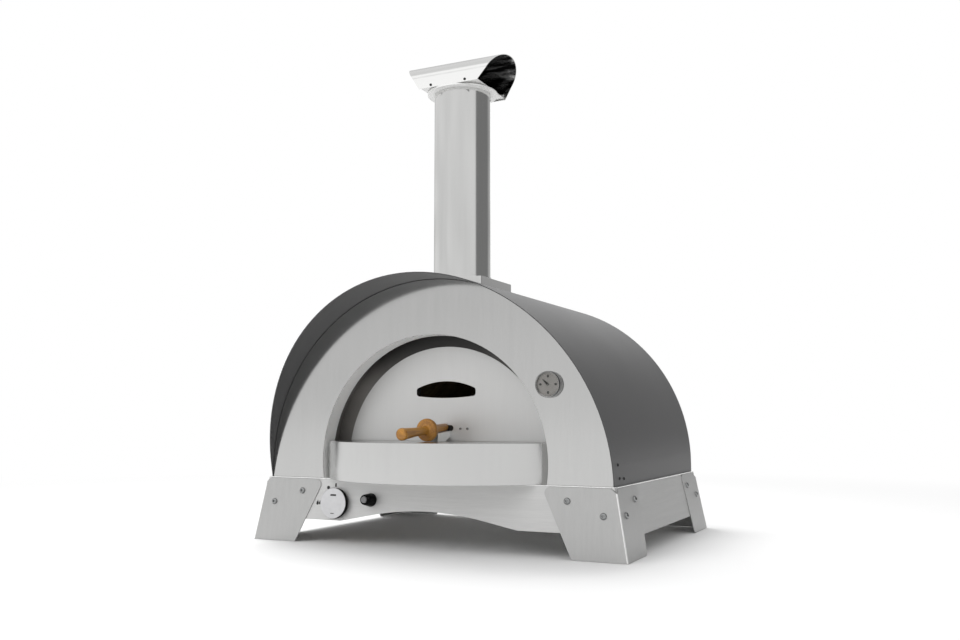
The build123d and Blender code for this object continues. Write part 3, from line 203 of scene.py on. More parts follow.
ground.tree.links.new(far.socket, ground.tree.nodes["Material Output"].inputs["Surface"])
floor.data.materials.append(ground.material)


def lamp(name, spot, target, size, power):
    """A large square soft lamp at spot that shines on target and isn't seen in the steel."""
    data = bpy.data.lights.new(name, "AREA")
    data.shape = "SQUARE"
    data.size = size
    data.energy = power
    made = bpy.data.objects.new(name, data)
    made.location = spot
    made.rotation_euler = (Vector(target) - Vector(spot)).to_track_quat("-Z", "Y").to_euler()
    made.visible_glossy = False
    bpy.context.scene.collection.objects.link(made)


lamp("overhead_lamp", (-0.9, 0.5, 3.4), (0.0, 0.0, 0.3), 1.6, 70.0)
lamp("front_lamp", (-1.4, -3.2, 2.4), (0.0, 0.0, 0.5), 2.2, 34.0)


# Stand panels: front and rear aprons and two sides, cut from 2 mm stainless sheet, brushed
# lengthwise and leaned inwards. The front one carries the knob and the igniter.
def brushed(
    name, tone, roughness, grain, streaks=0.04, depth=0.00006, tint=(1.0, 1.0, 0.99), metallic=1.0
):
    """Stainless steel whose brush marks run along the small number of grain."""
    finish = Finish(name)
    fine = finish.noise(finish.place(grain), 30.0, 2.0)
    coarse = finish.noise(finish.place(grain), 5.0, 3.0)
    cloud = finish.noise(finish.place(), 4.0, 2.0)
    shade = fine * 0.45 + coarse * 0.55
    low = [tone * share * (1 - streaks) for share in tint]
    high = [tone * share * (1 + streaks) for share in tint]
    return finish.set(
        Base_Color=finish.blend(shade.above(0.5, 0.4), low, high),
        Metallic=metallic,
        Roughness=roughness + 0.08 * (shade - 0.5) + 0.06 * (cloud - 0.5),
        Normal=finish.bump(shade, 0.05, depth),
    )


def activate(piece):
    """Select a piece, and no other, and make it the active one."""
    bpy.ops.object.select_all(action="DESELECT")
    piece.select_set(True)
    bpy.context.view_layer.objects.active = piece


def merged_copy(node):
    """A copy of a solid of the frame, its loose triangles made one closed mesh."""
    piece = bpy.data.objects.new(node + "_finished", nodes[node].data.copy())
    bpy.context.scene.collection.objects.link(piece)
    activate(piece)
    bpy.ops.object.mode_set(mode="EDIT")
    bpy.ops.mesh.select_all(action="SELECT")
    bpy.ops.mesh.remove_doubles(threshold=0.00001)
    bpy.ops.mesh.dissolve_limited(angle_limit=radians(0.3))
    bpy.ops.object.mode_set(mode="OBJECT")
    return piece


def smooth(piece, angle):
    """Shade a piece smooth over edges flatter than angle."""
    activate(piece)
    bpy.ops.object.shade_smooth_by_angle(angle=radians(angle))


def round_edges(piece, width, segments=3):
    """Round the sharp edges of a sheet, as after deburring. Its flats keep a flat sheen."""
    edge = piece.modifiers.new("edge", "BEVEL")
    edge.width = width
    edge.segments = segments
    edge.limit_method = "ANGLE"
    edge.angle_limit = radians(30.0)
    flats = piece.modifiers.new("flats", "WEIGHTED_NORMAL")
    flats.keep_sharp = True
    activate(piece)
    bpy.ops.object.modifier_apply(modifier=edge.name)
    smooth(piece, 34.0)
    bpy.ops.object.modifier_apply(modifier=flats.name)


def dress(piece, material, body, slot, *stands_for):
    """Give a new piece its finish and its body, and hide the solids that it stands for."""
    piece.data.materials.clear()
    piece.data.materials.append(material)
    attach(piece, body)
    if stands_for:
        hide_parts(*stands_for)


def finished(name, material, slot, edge, body="root", segments=3):
    """A solid of the frame as a finished piece of sheet, its edges rounded by edge."""
    piece = merged_copy(name)
    round_edges(piece, edge, segments)
    dress(piece, material, body, slot, name)
    return piece


lengthwise = (1.0, 1.0, 24.0)
panel_steel = brushed("panel_steel", 0.54, 0.48, lengthwise, metallic=0.55)
# The front apron gets a lighter copy of the panel steel: painted light against the shade under the
# shelf.
apron_painted_light_steel = brushed("apron_painted_light_steel", 0.66, 0.50, lengthwise, metallic=0.5)
for name in ("front_apron", "rear_apron", "left_side_panel", "right_side_panel"):
    steel = apron_painted_light_steel if name == "front_apron" else panel_steel
    finished(name, steel, "stand_steel", 0.0003)


# Corner legs: each a 2.5 mm stainless sheet with rounded corners, folded once to a 3 mm bend,
# brushed upwards and bolted over the panels. The faces of the bend take a near-white steel: a
# painted highlight along the fold.
def choose(piece, kind, test):
    """Select the faces or edges of the active piece whose middle and direction pass the test."""
    bpy.ops.object.mode_set(mode="EDIT")
    bpy.ops.mesh.select_mode(type=kind)
    bpy.ops.mesh.select_all(action="DESELECT")
    bpy.ops.object.mode_set(mode="OBJECT")
    points = piece.data.vertices
    if kind == "FACE":
        for face in piece.data.polygons:
            face.select = test(face.center, face.normal)
    else:
        for edge in piece.data.edges:
            first, last = [points[number].co for number in edge.vertices]
            edge.select = test((first + last) / 2, (last - first).normalized())
    bpy.ops.object.mode_set(mode="EDIT")


foot_low, foot_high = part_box("front_right_leg")
deck_low, deck_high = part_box("base_deck")
half_width = foot_high.x
front_y = foot_low.y
rear_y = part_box("rear_right_leg")[1].y
stand_mid = (front_y + rear_y) / 2
half_length = (rear_y - front_y) / 2
deck_top = deck_high.z
side_slope = (half_width - deck_high.x) / deck_top
end_slope = (deck_low.y - front_y) / deck_top
upwards = (24.0, 24.0, 1.0)
leg_steel = brushed("leg_steel", 0.51, 0.36, upwards, streaks=0.03, metallic=0.85)
# Near-white steel for the faces of the fold: a painted highlight along the bend.
bend_highlight_steel = brushed("bend_highlight_steel", 0.95, 0.30, upwards, streaks=0.03, metallic=0.5)
corner_radius = 0.0065
bend_radius = 0.003
leg_sides = {
    "front_left_leg": (-1, -1),
    "front_right_leg": (1, -1),
    "rear_left_leg": (-1, 1),
    "rear_right_leg": (1, 1),
}
for name, (side, end) in leg_sides.items():
    leg = merged_copy(name)
    end_out = Vector((0, end, end_slope)).normalized()
    side_out = Vector((side, 0, side_slope)).normalized()
    fold = end_out.cross(side_out).normalized()
    fold_foot = Vector((side * half_width, stand_mid + end * half_length, 0))
    choose(
        leg,
        "EDGE",
        lambda middle, way: max(abs(way.dot(end_out)), abs(way.dot(side_out))) > 0.97,
    )
    bpy.ops.mesh.bevel(offset=corner_radius, segments=5, affect="EDGES", clamp_overlap=True)
    choose(
        leg,
        "EDGE",
        lambda middle, way: abs(way.dot(fold)) > 0.999
        and (middle - fold_foot).cross(fold).length < 0.0005,
    )
    bpy.ops.mesh.bevel(offset=bend_radius, segments=5, affect="EDGES", clamp_overlap=True)
    bpy.ops.object.mode_set(mode="OBJECT")
    round_edges(leg, 0.0006)
    dress(leg, leg_steel, "root", "stand_steel", name)
    # The faces round the fold take that near-white steel: a painted highlight.
    leg.data.materials.append(bend_highlight_steel)
    for face in leg.data.polygons:
        near = (face.center - fold_foot).cross(fold).length < 0.004
        if near and min(face.normal.dot(end_out), face.normal.dot(side_out)) > 0.15:
            face.material_index = 1


# Leg bolts: stainless M8 button heads with a hexagon socket, two on each wing of each leg.
# Their plain nuts sit behind the panels.
def turned(name, outline, steps, angle=30.0):
    """A solid turned about the upright axis from an outline of (radius, height) points."""
    bpy.ops.object.select_all(action="DESELECT")
    bpy.ops.mesh.primitive_plane_add(size=0.01, location=(0.0, 0.0, 0.0))
    piece = bpy.context.active_object
    piece.name = name
    bpy.ops.object.mode_set(mode="EDIT")
    bpy.ops.mesh.select_mode(type="VERT")
    bpy.ops.mesh.select_all(action="SELECT")
    bpy.ops.mesh.merge(type="CENTER")
    at = (0.0, 0.0)
    for number, (radius, height) in enumerate(outline):
        step = (radius - at[0], 0.0, height - at[1])
        if number == 0:
            bpy.ops.transform.translate(value=step)
        else:
            bpy.ops.mesh.extrude_vertices_move(TRANSFORM_OT_translate={"value": step})
        at = (radius, height)
    bpy.ops.mesh.select_all(action="SELECT")
    bpy.ops.mesh.spin(steps=steps, angle=2 * pi, center=(0, 0, 0), axis=(0, 0, 1))
    bpy.ops.mesh.select_all(action="SELECT")
    bpy.ops.mesh.remove_doubles(threshold=0.000002)
    bpy.ops.mesh.normals_make_consistent(inside=False)
    bpy.ops.object.mode_set(mode="OBJECT")
    smooth(piece, angle)
    return piece


def seat(spot, facing):
    """The place of a piece modelled upright at the origin: foot at spot, top facing out."""
    ahead = Vector(facing).normalized()
    right = Vector((0, 0, 1)).cross(ahead)
    right = right.normalized() if right.length > 0.01 else Vector((1, 0, 0))
    turn = Matrix((right, ahead.cross(right), ahead)).transposed()
    return Matrix.Translation(spot) @ turn.to_4x4()


def set_down(piece, place):
    """Move a piece to its place, in its mesh."""
    piece.data.transform(place)


def copies(model, name, places):
    """Copies of a model with their own meshes, one at each place. The model itself goes."""
    made = []
    for number, place in enumerate(places):
        copy = bpy.data.objects.new(f"{name}_{number + 1}", model.data.copy())
        copy.data.transform(place)
        bpy.context.scene.collection.objects.link(copy)
        made.append(copy)
    bpy.data.objects.remove(model)
    return made


def socket_screw(name, head, rise, socket, shank, length):
    """A button-head screw: a turned dome and shank with a six-sided socket in its crown."""
    flat = socket * 1.25
    crown = rise * 0.995
    dome = [
        (flat + (head - flat) * sin(step * pi / 10), rise * (0.12 + 0.88 * cos(step * pi / 10)))
        for step in range(6)
    ]
    outline = [(0.0, rise), *dome, (head * 0.97, 0.0), (shank, 0.0), (shank, -length + shank / 3)]
    screw = turned(name, [*outline, (shank * 0.7, -length), (0.0, -length)], steps=24)
    choose(screw, "FACE", lambda middle, normal: middle.z > crown and normal.z > 0.9)
    bpy.ops.mesh.delete(type="FACE")
    bpy.ops.mesh.primitive_circle_add(vertices=6, radius=socket, location=(0.0, 0.0, rise))
    choose(
        screw,
        "EDGE",
        lambda middle, way: middle.z > crown
        and (middle.xy.length < socket or middle.xy.length > flat * 0.98),
    )
    bpy.ops.mesh.bridge_edge_loops()
    choose(
        screw, "EDGE", lambda middle, way: middle.z > crown and middle.xy.length < socket * 0.95
    )
    bpy.ops.mesh.extrude_region_move(TRANSFORM_OT_translate={"value": (0, 0, -rise * 0.6)})
    bpy.ops.mesh.edge_face_add()
    bpy.ops.mesh.select_all(action="SELECT")
    bpy.ops.mesh.normals_make_consistent(inside=False)
    bpy.ops.object.mode_set(mode="OBJECT")
    smooth(screw, 32.0)
    return screw


def coat(material, *names):
    """Give solids of the frame a finish."""
    for name in names:
        nodes[name].data.materials.clear()
        nodes[name].data.materials.append(material)


bolt_steel = brushed(
    "bolt_steel", 0.30, 0.24, (60.0, 60.0, 60.0), streaks=0.08, tint=(0.98, 1.0, 1.0)
)
low_bolt = (0.040, 0.0975)  # inset from the corner, height
high_bolt = (0.120, 0.1275)
bolt_places = []
for side in (-1, 1):
    for end in (-1, 1):
        for inset, height in (low_bolt, high_bolt):
            edge_x = half_width - side_slope * height
            edge_y = half_length - end_slope * height
            face = (side * (edge_x - inset), stand_mid + end * edge_y, height)
            bolt_places.append(seat(face, (0, end, end_slope)))
            face = (side * edge_x, stand_mid + end * (edge_y - inset), height)
            bolt_places.append(seat(face, (side, 0, side_slope)))
bolt = socket_screw(
    "bolt", head=0.0080, rise=0.0046, socket=0.0029, shank=0.0040, length=0.0140
)
for copy in copies(bolt, "leg_bolt", bolt_places):
    dress(copy, bolt_steel, "root", "fasteners", "leg_bolts")
coat(bolt_steel, "leg_nuts")

# Deck: the stand's stainless top, on which everything else stands. Its edge shows as a
# narrow bright ledge.
crosswise = (1.0, 24.0, 24.0)
deck_steel = brushed("deck_steel", 0.95, 0.26, crosswise, metallic=0.8)
finished("base_deck", deck_steel, "stand_steel", 0.0005)

# Gas line: brass valve, inlet and feed pipes, and the sprung plunger and spindle of the knob,
# behind the front apron.
brass = Finish("brass")
cast = brass.noise(brass.place(), 160.0, 3.0)
stain = brass.noise(brass.place(), 18.0, 4.0)
coat(
    brass.set(
        Base_Color=brass.blend(stain.above(0.52, 0.3), (0.56, 0.36, 0.13), (0.40, 0.25, 0.10)),
        Metallic=1.0,
        Roughness=0.30 + 0.25 * (stain - 0.4),
        Normal=brass.bump(cast, 0.2, 0.0003),
    ),
    "gas_valve", "valve_plunger", "gas_inlet_pipe", "burner_feed_pipe",
)
rod_steel = brushed("rod_steel", 0.50, 0.25, (30.0, 30.0, 30.0), streaks=0.08)
coat(rod_steel, "valve_spindle", "valve_spring", "igniter_spring", "gauge_nut")

# Hearth: a folded steel tray with an insulating board and six cast refractory tiles in it. The
# vault and rear wall over it are cast of the same stone, under ceramic fibre.
hearth_steel = brushed("hearth_steel", 0.42, 0.42, (1.0, 20.0, 20.0), streaks=0.12)
coat(hearth_steel, "hearth_tray", "burner_saddles")
stone = Finish("refractory")
pores = stone.noise(stone.place(), 260.0, 4.0, 0.65)
grit = stone.noise(stone.place(), 60.0, 3.0)
scorch = stone.noise(stone.place(), 7.0, 3.0)
stone_colour = stone.blend(grit.above(0.5, 0.35), (0.50, 0.40, 0.27), (0.62, 0.52, 0.37))
coat(
    stone.set(
        Base_Color=stone.blend(
            0.35 * scorch.above(0.55, 0.25), stone_colour, (0.20, 0.15, 0.11)
        ),
        Roughness=0.88 + 0.1 * (grit - 0.5),
        Normal=stone.bump(pores.above(0.42, 0.25) + 0.4 * grit, 0.5, 0.0008),
    ),
    "hearth_tiles", "chamber_vault", "chamber_rear_wall",
)
fibre = Finish("ceramic_fibre")
strands = fibre.noise(fibre.place((1.0, 1.0, 4.0)), 90.0, 5.0, 0.7)
lumps = fibre.noise(fibre.place(), 14.0, 3.0)
coat(
    fibre.set(
        Base_Color=fibre.blend(strands, (0.66, 0.64, 0.58), (0.84, 0.83, 0.79)),
        Roughness=0.97,
        Normal=fibre.bump(strands + lumps, 0.7, 0.0015),
    ),
    "floor_board", "insulation_blanket", "rear_insulation",
)

# Burner: a steel tube with a row of ports behind a slotted guard, blued by the flame, and a
# spark electrode with a glazed stem.
blued = Finish("blued_steel")
heat = blued.noise(blued.place((1.0, 3.0, 1.0)), 9.0, 3.0)
scale = blued.noise(blued.place(), 130.0, 3.0)
coat(
    blued.set(
        Base_Color=blued.blend(heat.above(0.5, 0.4), (0.16, 0.14, 0.17), (0.30, 0.22, 0.16)),
        Metallic=1.0,
        Roughness=0.42 + 0.2 * (scale - 0.5),
        Normal=blued.bump(scale, 0.2, 0.0002),
    ),
    "burner_tube", "flame_guard",
)
glaze = Finish("electrode_glaze")
speck = glaze.noise(glaze.place(), 400.0, 3.0)
coat(
    glaze.set(
        Base_Color=glaze.blend(speck.above(0.66, 0.1), (0.80, 0.78, 0.72), (0.45, 0.40, 0.34)),
        Roughness=0.18 + 0.1 * speck,
        Coat_Weight=0.4,
    ),
    "spark_electrode",
)

# Front ring and vestibule liner: steel with black heat-resistant paint, between the mouth and
# the chamber. It is mottled grey low down and black above the crown height; the black crown is
# painted shade.
black_paint = Finish("black_heat_paint")
dust = black_paint.noise(black_paint.place(), 700.0, 3.0)
mottle = black_paint.noise(black_paint.place(), 8.0, 4.0)
here = black_paint.node("ShaderNodeTexCoord", output="Object")
height = black_paint.node("ShaderNodeSeparateXYZ", {}, {"Vector": here}, "Z")
crown_height = 0.435
# Painted shade: the paint turns black above the crown height.
painted_crown_shade = (height + 0.08 * (mottle - 0.5)).above(crown_height, 0.13)
greyed = black_paint.blend(mottle.above(0.5, 0.5), (0.165, 0.157, 0.148), (0.225, 0.214, 0.202))
liner_paint = black_paint.set(
    Base_Color=black_paint.blend(painted_crown_shade, greyed, (0.018, 0.017, 0.016)),
    Roughness=0.55 + 0.18 * (mottle - 0.5),
    Normal=black_paint.bump(dust, 0.25, 0.0002),
)
for name in ("vestibule_liner", "chamber_front_ring"):
    finished(name, liner_paint, "liner_steel", 0.0004)

# Rear panel: stainless sheet, brushed upwards and let into the casing's rear end. Nine small
# button-head screws round its rim hold it.
finished("rear_panel", brushed("rear_steel", 0.50, 0.34, upwards), "stand_steel", 0.0004)
casing_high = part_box("outer_casing")[1]
casing_radius = casing_high.x
casing_centre_z = casing_high.z - casing_radius
rim_radius = casing_radius - 0.014
rear_places = []
for step in range(9):
    turn = radians(step * 22.5)
    rise = max(rim_radius * sin(turn), 0.0)
    rim_spot = (rim_radius * cos(turn), casing_high.y, casing_centre_z + rise)
    rear_places.append(seat(rim_spot, (0, 1, 0)))
screw = socket_screw(
    "screw", head=0.0036, rise=0.0024, socket=0.0015, shank=0.0018, length=0.0030
)
for copy in copies(screw, "rear_screw", rear_places):
    dress(copy, bolt_steel, "root", "fasteners")

# Casing: one 2 mm steel sheet bent over the oven, with a fine satin powder coat in dark grey.
# Its front edge reaches over the mouth as a visor.
paint = Finish("casing_paint")
grain = paint.noise(paint.place(), 1100.0, 2.0)
orange_peel = paint.noise(paint.place(), 240.0, 2.0)
cloud = paint.noise(paint.place(), 3.0, 3.0)
casing_paint = paint.set(
    Base_Color=paint.blend(0.6 * grain + 0.4 * cloud, (0.050, 0.050, 0.051), (0.072, 0.072, 0.073)),
    Roughness=0.44 + 0.10 * (cloud - 0.5) + 0.08 * (grain - 0.5),
    Normal=paint.bump(grain + 0.5 * orange_peel, 0.22, 0.00025),
)
finished("outer_casing", casing_paint, "casing_paint", 0.0005)

# Faceplate and reveal: bright stainless, almost a mirror on the plate and satin round the mouth.
# The reveal's steel is near-white and mostly matte: painted light against the shade in the arch.
# A bead of black sealant closes the joint to the casing.
polished = (10.0, 10.0, 0.6)
face_steel = brushed("face_steel", 0.54, 0.13, polished, streaks=0.012, depth=0.00002)
# Near-white, mostly matte steel for the reveal: painted light against the shade inside the arch.
reveal_painted_light_steel = brushed(
    "reveal_painted_light_steel", 0.95, 0.40, (10.0, 0.6, 10.0), streaks=0.02, metallic=0.15
)
for name, steel in (("faceplate", face_steel), ("mouth_reveal", reveal_painted_light_steel)):
    finished(name, steel, "polished_steel", 0.0004)
faceplate_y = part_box("faceplate")[0].y
bead_radius = 0.0008
joint_radius = casing_radius - 0.0026
upright = casing_centre_z - deck_top
bpy.ops.object.select_all(action="DESELECT")
bpy.ops.mesh.primitive_circle_add(
    vertices=8, radius=bead_radius, location=(joint_radius, faceplate_y, deck_top)
)
bead = bpy.context.active_object
bead.name = "sealing_bead"
bpy.ops.object.transform_apply(location=True, rotation=True, scale=True)
bpy.ops.object.mode_set(mode="EDIT")
bpy.ops.mesh.select_all(action="SELECT")
bpy.ops.mesh.extrude_region_move(TRANSFORM_OT_translate={"value": (0, 0, upright)})
bpy.ops.mesh.spin(steps=90, angle=pi, center=(0, 0, casing_centre_z), axis=(0, 1, 0))
bpy.ops.mesh.extrude_region_move(TRANSFORM_OT_translate={"value": (0, 0, -upright)})
bpy.ops.mesh.select_all(action="SELECT")
bpy.ops.mesh.remove_doubles(threshold=0.00001)
bpy.ops.mesh.fill_holes(sides=0)
bpy.ops.mesh.normals_make_consistent(inside=False)
bpy.ops.object.mode_set(mode="OBJECT")
smooth(bead, 50.0)
sealant = Finish("black_sealant")
ripple = sealant.noise(sealant.place(), 220.0, 3.0)
bead_black = sealant.set(
    Base_Color=sealant.blend(ripple, (0.010, 0.010, 0.010), (0.026, 0.026, 0.026)),
    Roughness=0.55 + 0.2 * (ripple - 0.5),
)
dress(bead, bead_black, "root", "black_plastic")

# Shelf: a bowed box of the same bright sheet in front of the hearth, its edges bent to a
# small radius. Its two narrow ends and its floor get a lighter steel, painted light against the
# shade on the ends and under the shelf.
shelf_steel = brushed("shelf_steel", 0.59, 0.22, polished, streaks=0.012, depth=0.00002)
shelf = finished("front_shelf", shelf_steel, "polished_steel", 0.0014, segments=4)
# Lighter steel on the two narrow ends: painted light against their shade.
shelf.data.materials.append(brushed("shelf_end_painted_light_steel", 0.95, 0.22, polished))
for face in shelf.data.polygons:
    if abs(face.normal.x) > 0.9:
        face.material_index = 1
# Lighter steel under the shelf: painted light, so the apron below shows less shade.
coat(brushed("shelf_floor_painted_light_steel", 0.70, 0.40, crosswise, metallic=0.7), "shelf_floor")

# Flue: collar astride the casing, foot flange, rolled pipe with a lock seam at its back, and
# the smoke duct below it.
flue_steel = brushed(
    "flue_steel", 0.66, 0.12, (20.0, 20.0, 0.5), streaks=0.015, depth=0.00001
)
for name in ("flue_collar", "flue_flange"):
    finished(name, flue_steel, "flue_steel", 0.0004)
coat(hearth_steel, "smoke_duct")
pipe_low, pipe_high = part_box("flue_pipe")
flue_y = (pipe_low.y + pipe_high.y) / 2
pipe_mid_z = (pipe_low.z + pipe_high.z) / 2
pipe_wall = 0.0015
bore = pipe_high.x - pipe_wall
pipe = turned(
    "rolled_pipe",
    [
        (bore, pipe_low.z), (pipe_high.x, pipe_low.z), (pipe_high.x, pipe_high.z),
        (bore, pipe_high.z), (bore, pipe_low.z),
    ],
    steps=112,
)
set_down(pipe, Matrix.Translation((0.0, flue_y, 0.0)))
dress(pipe, flue_steel, "root", "flue_steel", "flue_pipe")
bpy.ops.object.select_all(action="DESELECT")
bpy.ops.mesh.primitive_cube_add(size=1.0, location=(0.0, pipe_high.y, pipe_mid_z))
seam = bpy.context.active_object
seam.name = "flue_seam"
seam.scale = (0.0075, 0.0022, pipe_high.z - pipe_low.z - 0.034)
bpy.ops.object.transform_apply(location=True, rotation=True, scale=True)
round_edges(seam, 0.0007)
dress(seam, flue_steel, "root", "flue_steel")

# Cap: a short ring with a flanged plate at the pipe's top, and the cowl screwed over it, a
# folded trough whose inside above the foot is painted dark as shade, with lighter streaks as
# painted reflections.
cap_steel = brushed("cap_steel", 0.92, 0.40, (10.0, 10.0, 10.0), streaks=0.015, metallic=0.3)
finished("cap_ring", cap_steel, "flue_steel", 0.0004)
cowl_low, cowl_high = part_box("cowl")
# Painted shade: near-black for the cowl's inner faces above its foot, lighter in streaks as painted
# reflections.
inner_shade = Finish("cowl_painted_shade")
flake = inner_shade.noise(inner_shade.place(), 40.0, 4.0, 0.6)
painted_reflection_streak = inner_shade.noise(inner_shade.place((3.0, 12.0, 12.0)), 5.0, 3.0)
cowl_painted_shade = inner_shade.set(
    Base_Color=inner_shade.blend(painted_reflection_streak.above(0.56, 0.20), (0.006, 0.006, 0.006), (0.42, 0.42, 0.42)),
    Metallic=0.9,
    Roughness=0.08 + 0.16 * flake,
    Normal=inner_shade.bump(flake, 0.1, 0.0003),
)
cowl = merged_copy("cowl")
shade_starts = cowl_low.z + 0.0062
choose(cowl, "FACE", lambda middle, normal: True)
bpy.ops.mesh.bisect(plane_co=(0, 0, shade_starts), plane_no=(0, 0, 1))
bpy.ops.object.mode_set(mode="OBJECT")
cowl_inside = []
axis_z = cowl_low.z + 0.022
for face in cowl.data.polygons:
    inward = Vector((0.0, flue_y - face.center.y, axis_z - face.center.z))
    inner = face.normal.dot(inward) > 0.5 * inward.length and abs(face.normal.x) < 0.5
    if inner and face.center.z > shade_starts:
        cowl_inside.append(face.index)
cowl_steel = brushed(
    "cowl_steel", 0.66, 0.12, (0.6, 20.0, 20.0), streaks=0.012, depth=0.00001
)
cowl.data.materials.clear()
cowl.data.materials.append(cowl_steel)
cowl.data.materials.append(cowl_painted_shade)
for number in cowl_inside:
    cowl.data.polygons[number].material_index = 1
round_edges(cowl, 0.0003)
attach(cowl, "root")
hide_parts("cowl")

# Sheet screws: small dark button heads, three at each of the casing's front edges, and two at
# the front and two at the back of the cowl's foot.
screw_black = Finish("screw_black")
wear = screw_black.noise(screw_black.place(), 500.0, 3.0)
dark_screw = screw_black.set(
    Base_Color=screw_black.blend(wear.above(0.6, 0.2), (0.018, 0.018, 0.018), (0.10, 0.10, 0.10)),
    Metallic=0.6,
    Roughness=0.35 + 0.2 * (wear - 0.5),
)
sheet_places = []
for side in (-1, 1):
    for setback, height in ((0.0518, 0.208), (0.062, 0.1774), (0.0948, 0.1755)):
        rise = max(height - casing_centre_z, 0.0)
        reach = (casing_radius**2 - rise**2) ** 0.5
        sheet_places.append(
            seat((side * reach, front_y + setback, height), (side, 0, rise / casing_radius))
        )
cowl_lean = 7.0 / 31.0
screw_rise = 0.007
screw_z = cowl_low.z + screw_rise
for end in (-1, 1):
    for x in (-0.050, 0.050):
        reach = (cowl_high.y - cowl_low.y) / 2 - cowl_lean * screw_rise
        sheet_places.append(seat((x, flue_y + end * reach, screw_z), (0, end, cowl_lean)))
screw = socket_screw(
    "screw", head=0.0036, rise=0.0024, socket=0.0015, shank=0.0020, length=0.0080
)
for copy in copies(screw, "sheet_screw", sheet_places):
    dress(copy, dark_screw, "root", "fasteners", "sheet_screws")

# Door: a skin of satin stainless with a lens-shaped peep slot, over an insulating plug and
# a back sheet, held together by four screws beside the handle.
door_steel = brushed(
    "door_steel", 0.64, 0.40, polished, streaks=0.012, depth=0.00001, metallic=0.5
)
finished("door_skin", door_steel, "polished_steel", 0.0005, body="door")
coat(hearth_steel, "door_back")
charred = Finish("charred_fibre")
felt = charred.noise(charred.place((1.0, 1.0, 4.0)), 90.0, 5.0, 0.7)
coat(
    charred.set(
        Base_Color=charred.blend(felt, (0.008, 0.008, 0.007), (0.022, 0.020, 0.018)),
        Roughness=0.96,
        Normal=charred.bump(felt, 0.6, 0.0010),
    ),
    "door_plug",
)
door_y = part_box("door_skin")[0].y
door_screw_z = 0.286
door_places = [
    seat((x, door_y, door_screw_z), (0, -1, 0)) for x in (-0.0615, -0.042, 0.042, 0.0615)
]
screw = socket_screw(
    "screw", head=0.0034, rise=0.0022, socket=0.0015, shank=0.0020, length=0.0080
)
for copy in copies(screw, "door_screw", door_places):
    dress(copy, bolt_steel, "door", "fasteners", "door_screws")

# Handle: turned beech, oiled to orange, with a disc that keeps the hand off the door, on a
# steel rod. A bent steel channel holds it level.
bracket_steel = brushed("bracket_steel", 0.95, 0.25, polished, streaks=0.02, metallic=0.3)
finished("handle_bracket", bracket_steel, "polished_steel", 0.0006, body="door")
coat(rod_steel, "handle_rod")
wood = Finish("handle_wood")
fibres = wood.noise(wood.place((60.0, 3.0, 60.0)), 6.0, 4.0, 0.6)
rings = wood.noise(wood.place((9.0, 0.8, 9.0)), 5.0, 2.0)
flecks = wood.noise(wood.place((160.0, 16.0, 160.0)), 4.0, 2.0)
tone = 0.45 * fibres + 0.55 * rings
wood_colour = wood.blend(tone.above(0.5, 0.35), (0.30, 0.125, 0.020), (0.62, 0.295, 0.046))
handle_wood = wood.set(
    Base_Color=wood.blend(0.45 * flecks.above(0.64, 0.12), wood_colour, (0.20, 0.08, 0.02)),
    Roughness=0.36 + 0.14 * (fibres - 0.5),
    Coat_Weight=0.10,
    Coat_Roughness=0.25,
    Normal=wood.bump(fibres, 0.15, 0.0002),
)
handle_z = 0.290
handle_dip = 0.07
handle_length = (door_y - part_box("wooden_handle")[0].y) / cos(atan(handle_dip))
disc_front = 0.104
grip = handle_length - disc_front
grip_outline = [  # radius, share of the grip's length
    (0.0103, 0.08), (0.0100, 0.16), (0.0102, 0.28), (0.0107, 0.42), (0.0115, 0.56),
    (0.0125, 0.70), (0.0136, 0.84), (0.0144, 0.93), (0.0146, 0.955), (0.0140, 0.977),
    (0.0122, 0.991), (0.0090, 0.998), (0.0, 1.0),
]
handle = turned(
    "turned_handle",
    [
        (0.0, 0.084), (0.0041, 0.084), (0.0041, 0.0015), (0.0083, 0.0015), (0.0090, 0.0026),
        (0.0094, 0.020), (0.0100, 0.048), (0.0106, 0.074), (0.0112, 0.0826), (0.0128, 0.0852),
        (0.0170, 0.0864), (0.0236, 0.0872), (0.0258, 0.0884), (0.0274, 0.0912), (0.0280, 0.0950),
        (0.0279, 0.0972), (0.0272, 0.1004), (0.0256, 0.1026), (0.0234, 0.1036), (0.0160, 0.1046),
        (0.0118, 0.1070),
        *((radius, disc_front + share * grip) for radius, share in grip_outline),
    ],
    steps=64,
    angle=35.0,
)
set_down(handle, seat((0.0, door_y, handle_z), (0.0, -1.0, -handle_dip)))
dress(handle, handle_wood, "door", "handle_wood", "wooden_handle")

# Thermometer: a turned stainless cup on a stem through the faceplate, its side lighter at the
# foot and near-black above as painted reflections, a grey dial with four bold marks and fine
# ticks, a black needle and a glass.
gauge_low, gauge_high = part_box("gauge_housing")
gauge_radius = (gauge_high.x - gauge_low.x) / 2
gauge_x = (gauge_low.x + gauge_high.x) / 2
gauge_z = (gauge_low.z + gauge_high.z) / 2
gauge_spot = Vector((gauge_x, faceplate_y, gauge_z))
gauge_seat = seat(gauge_spot, (0, -1, 0))
even = (12.0, 12.0, 12.0)
gauge_steel = brushed("gauge_steel", 0.34, 0.24, even, streaks=0.05)
cup = turned(
    "gauge_cup",
    [
        (0.0, -0.070), (0.0018, -0.070), (0.0030, -0.0685), (0.0030, -0.014), (0.0050, -0.014),
        (0.0057, -0.0133), (0.0057, 0.0), (0.0299, 0.0), (gauge_radius, 0.0005),
        (gauge_radius, 0.0024), (0.0302, 0.0028), (0.0302, 0.0072), (0.0302, 0.0128),
        (0.0301, 0.0140), (0.0298, 0.0147), (0.0294, 0.0150), (0.0290, 0.0149),
        (0.02865, 0.0145), (0.02855, 0.0126), (0.0274, 0.0126), (0.0274, 0.0080), (0.0, 0.0080),
    ],
    steps=72,
)
set_down(cup, gauge_seat)
dress(cup, gauge_steel, "root", "gauge_body", "gauge_housing")
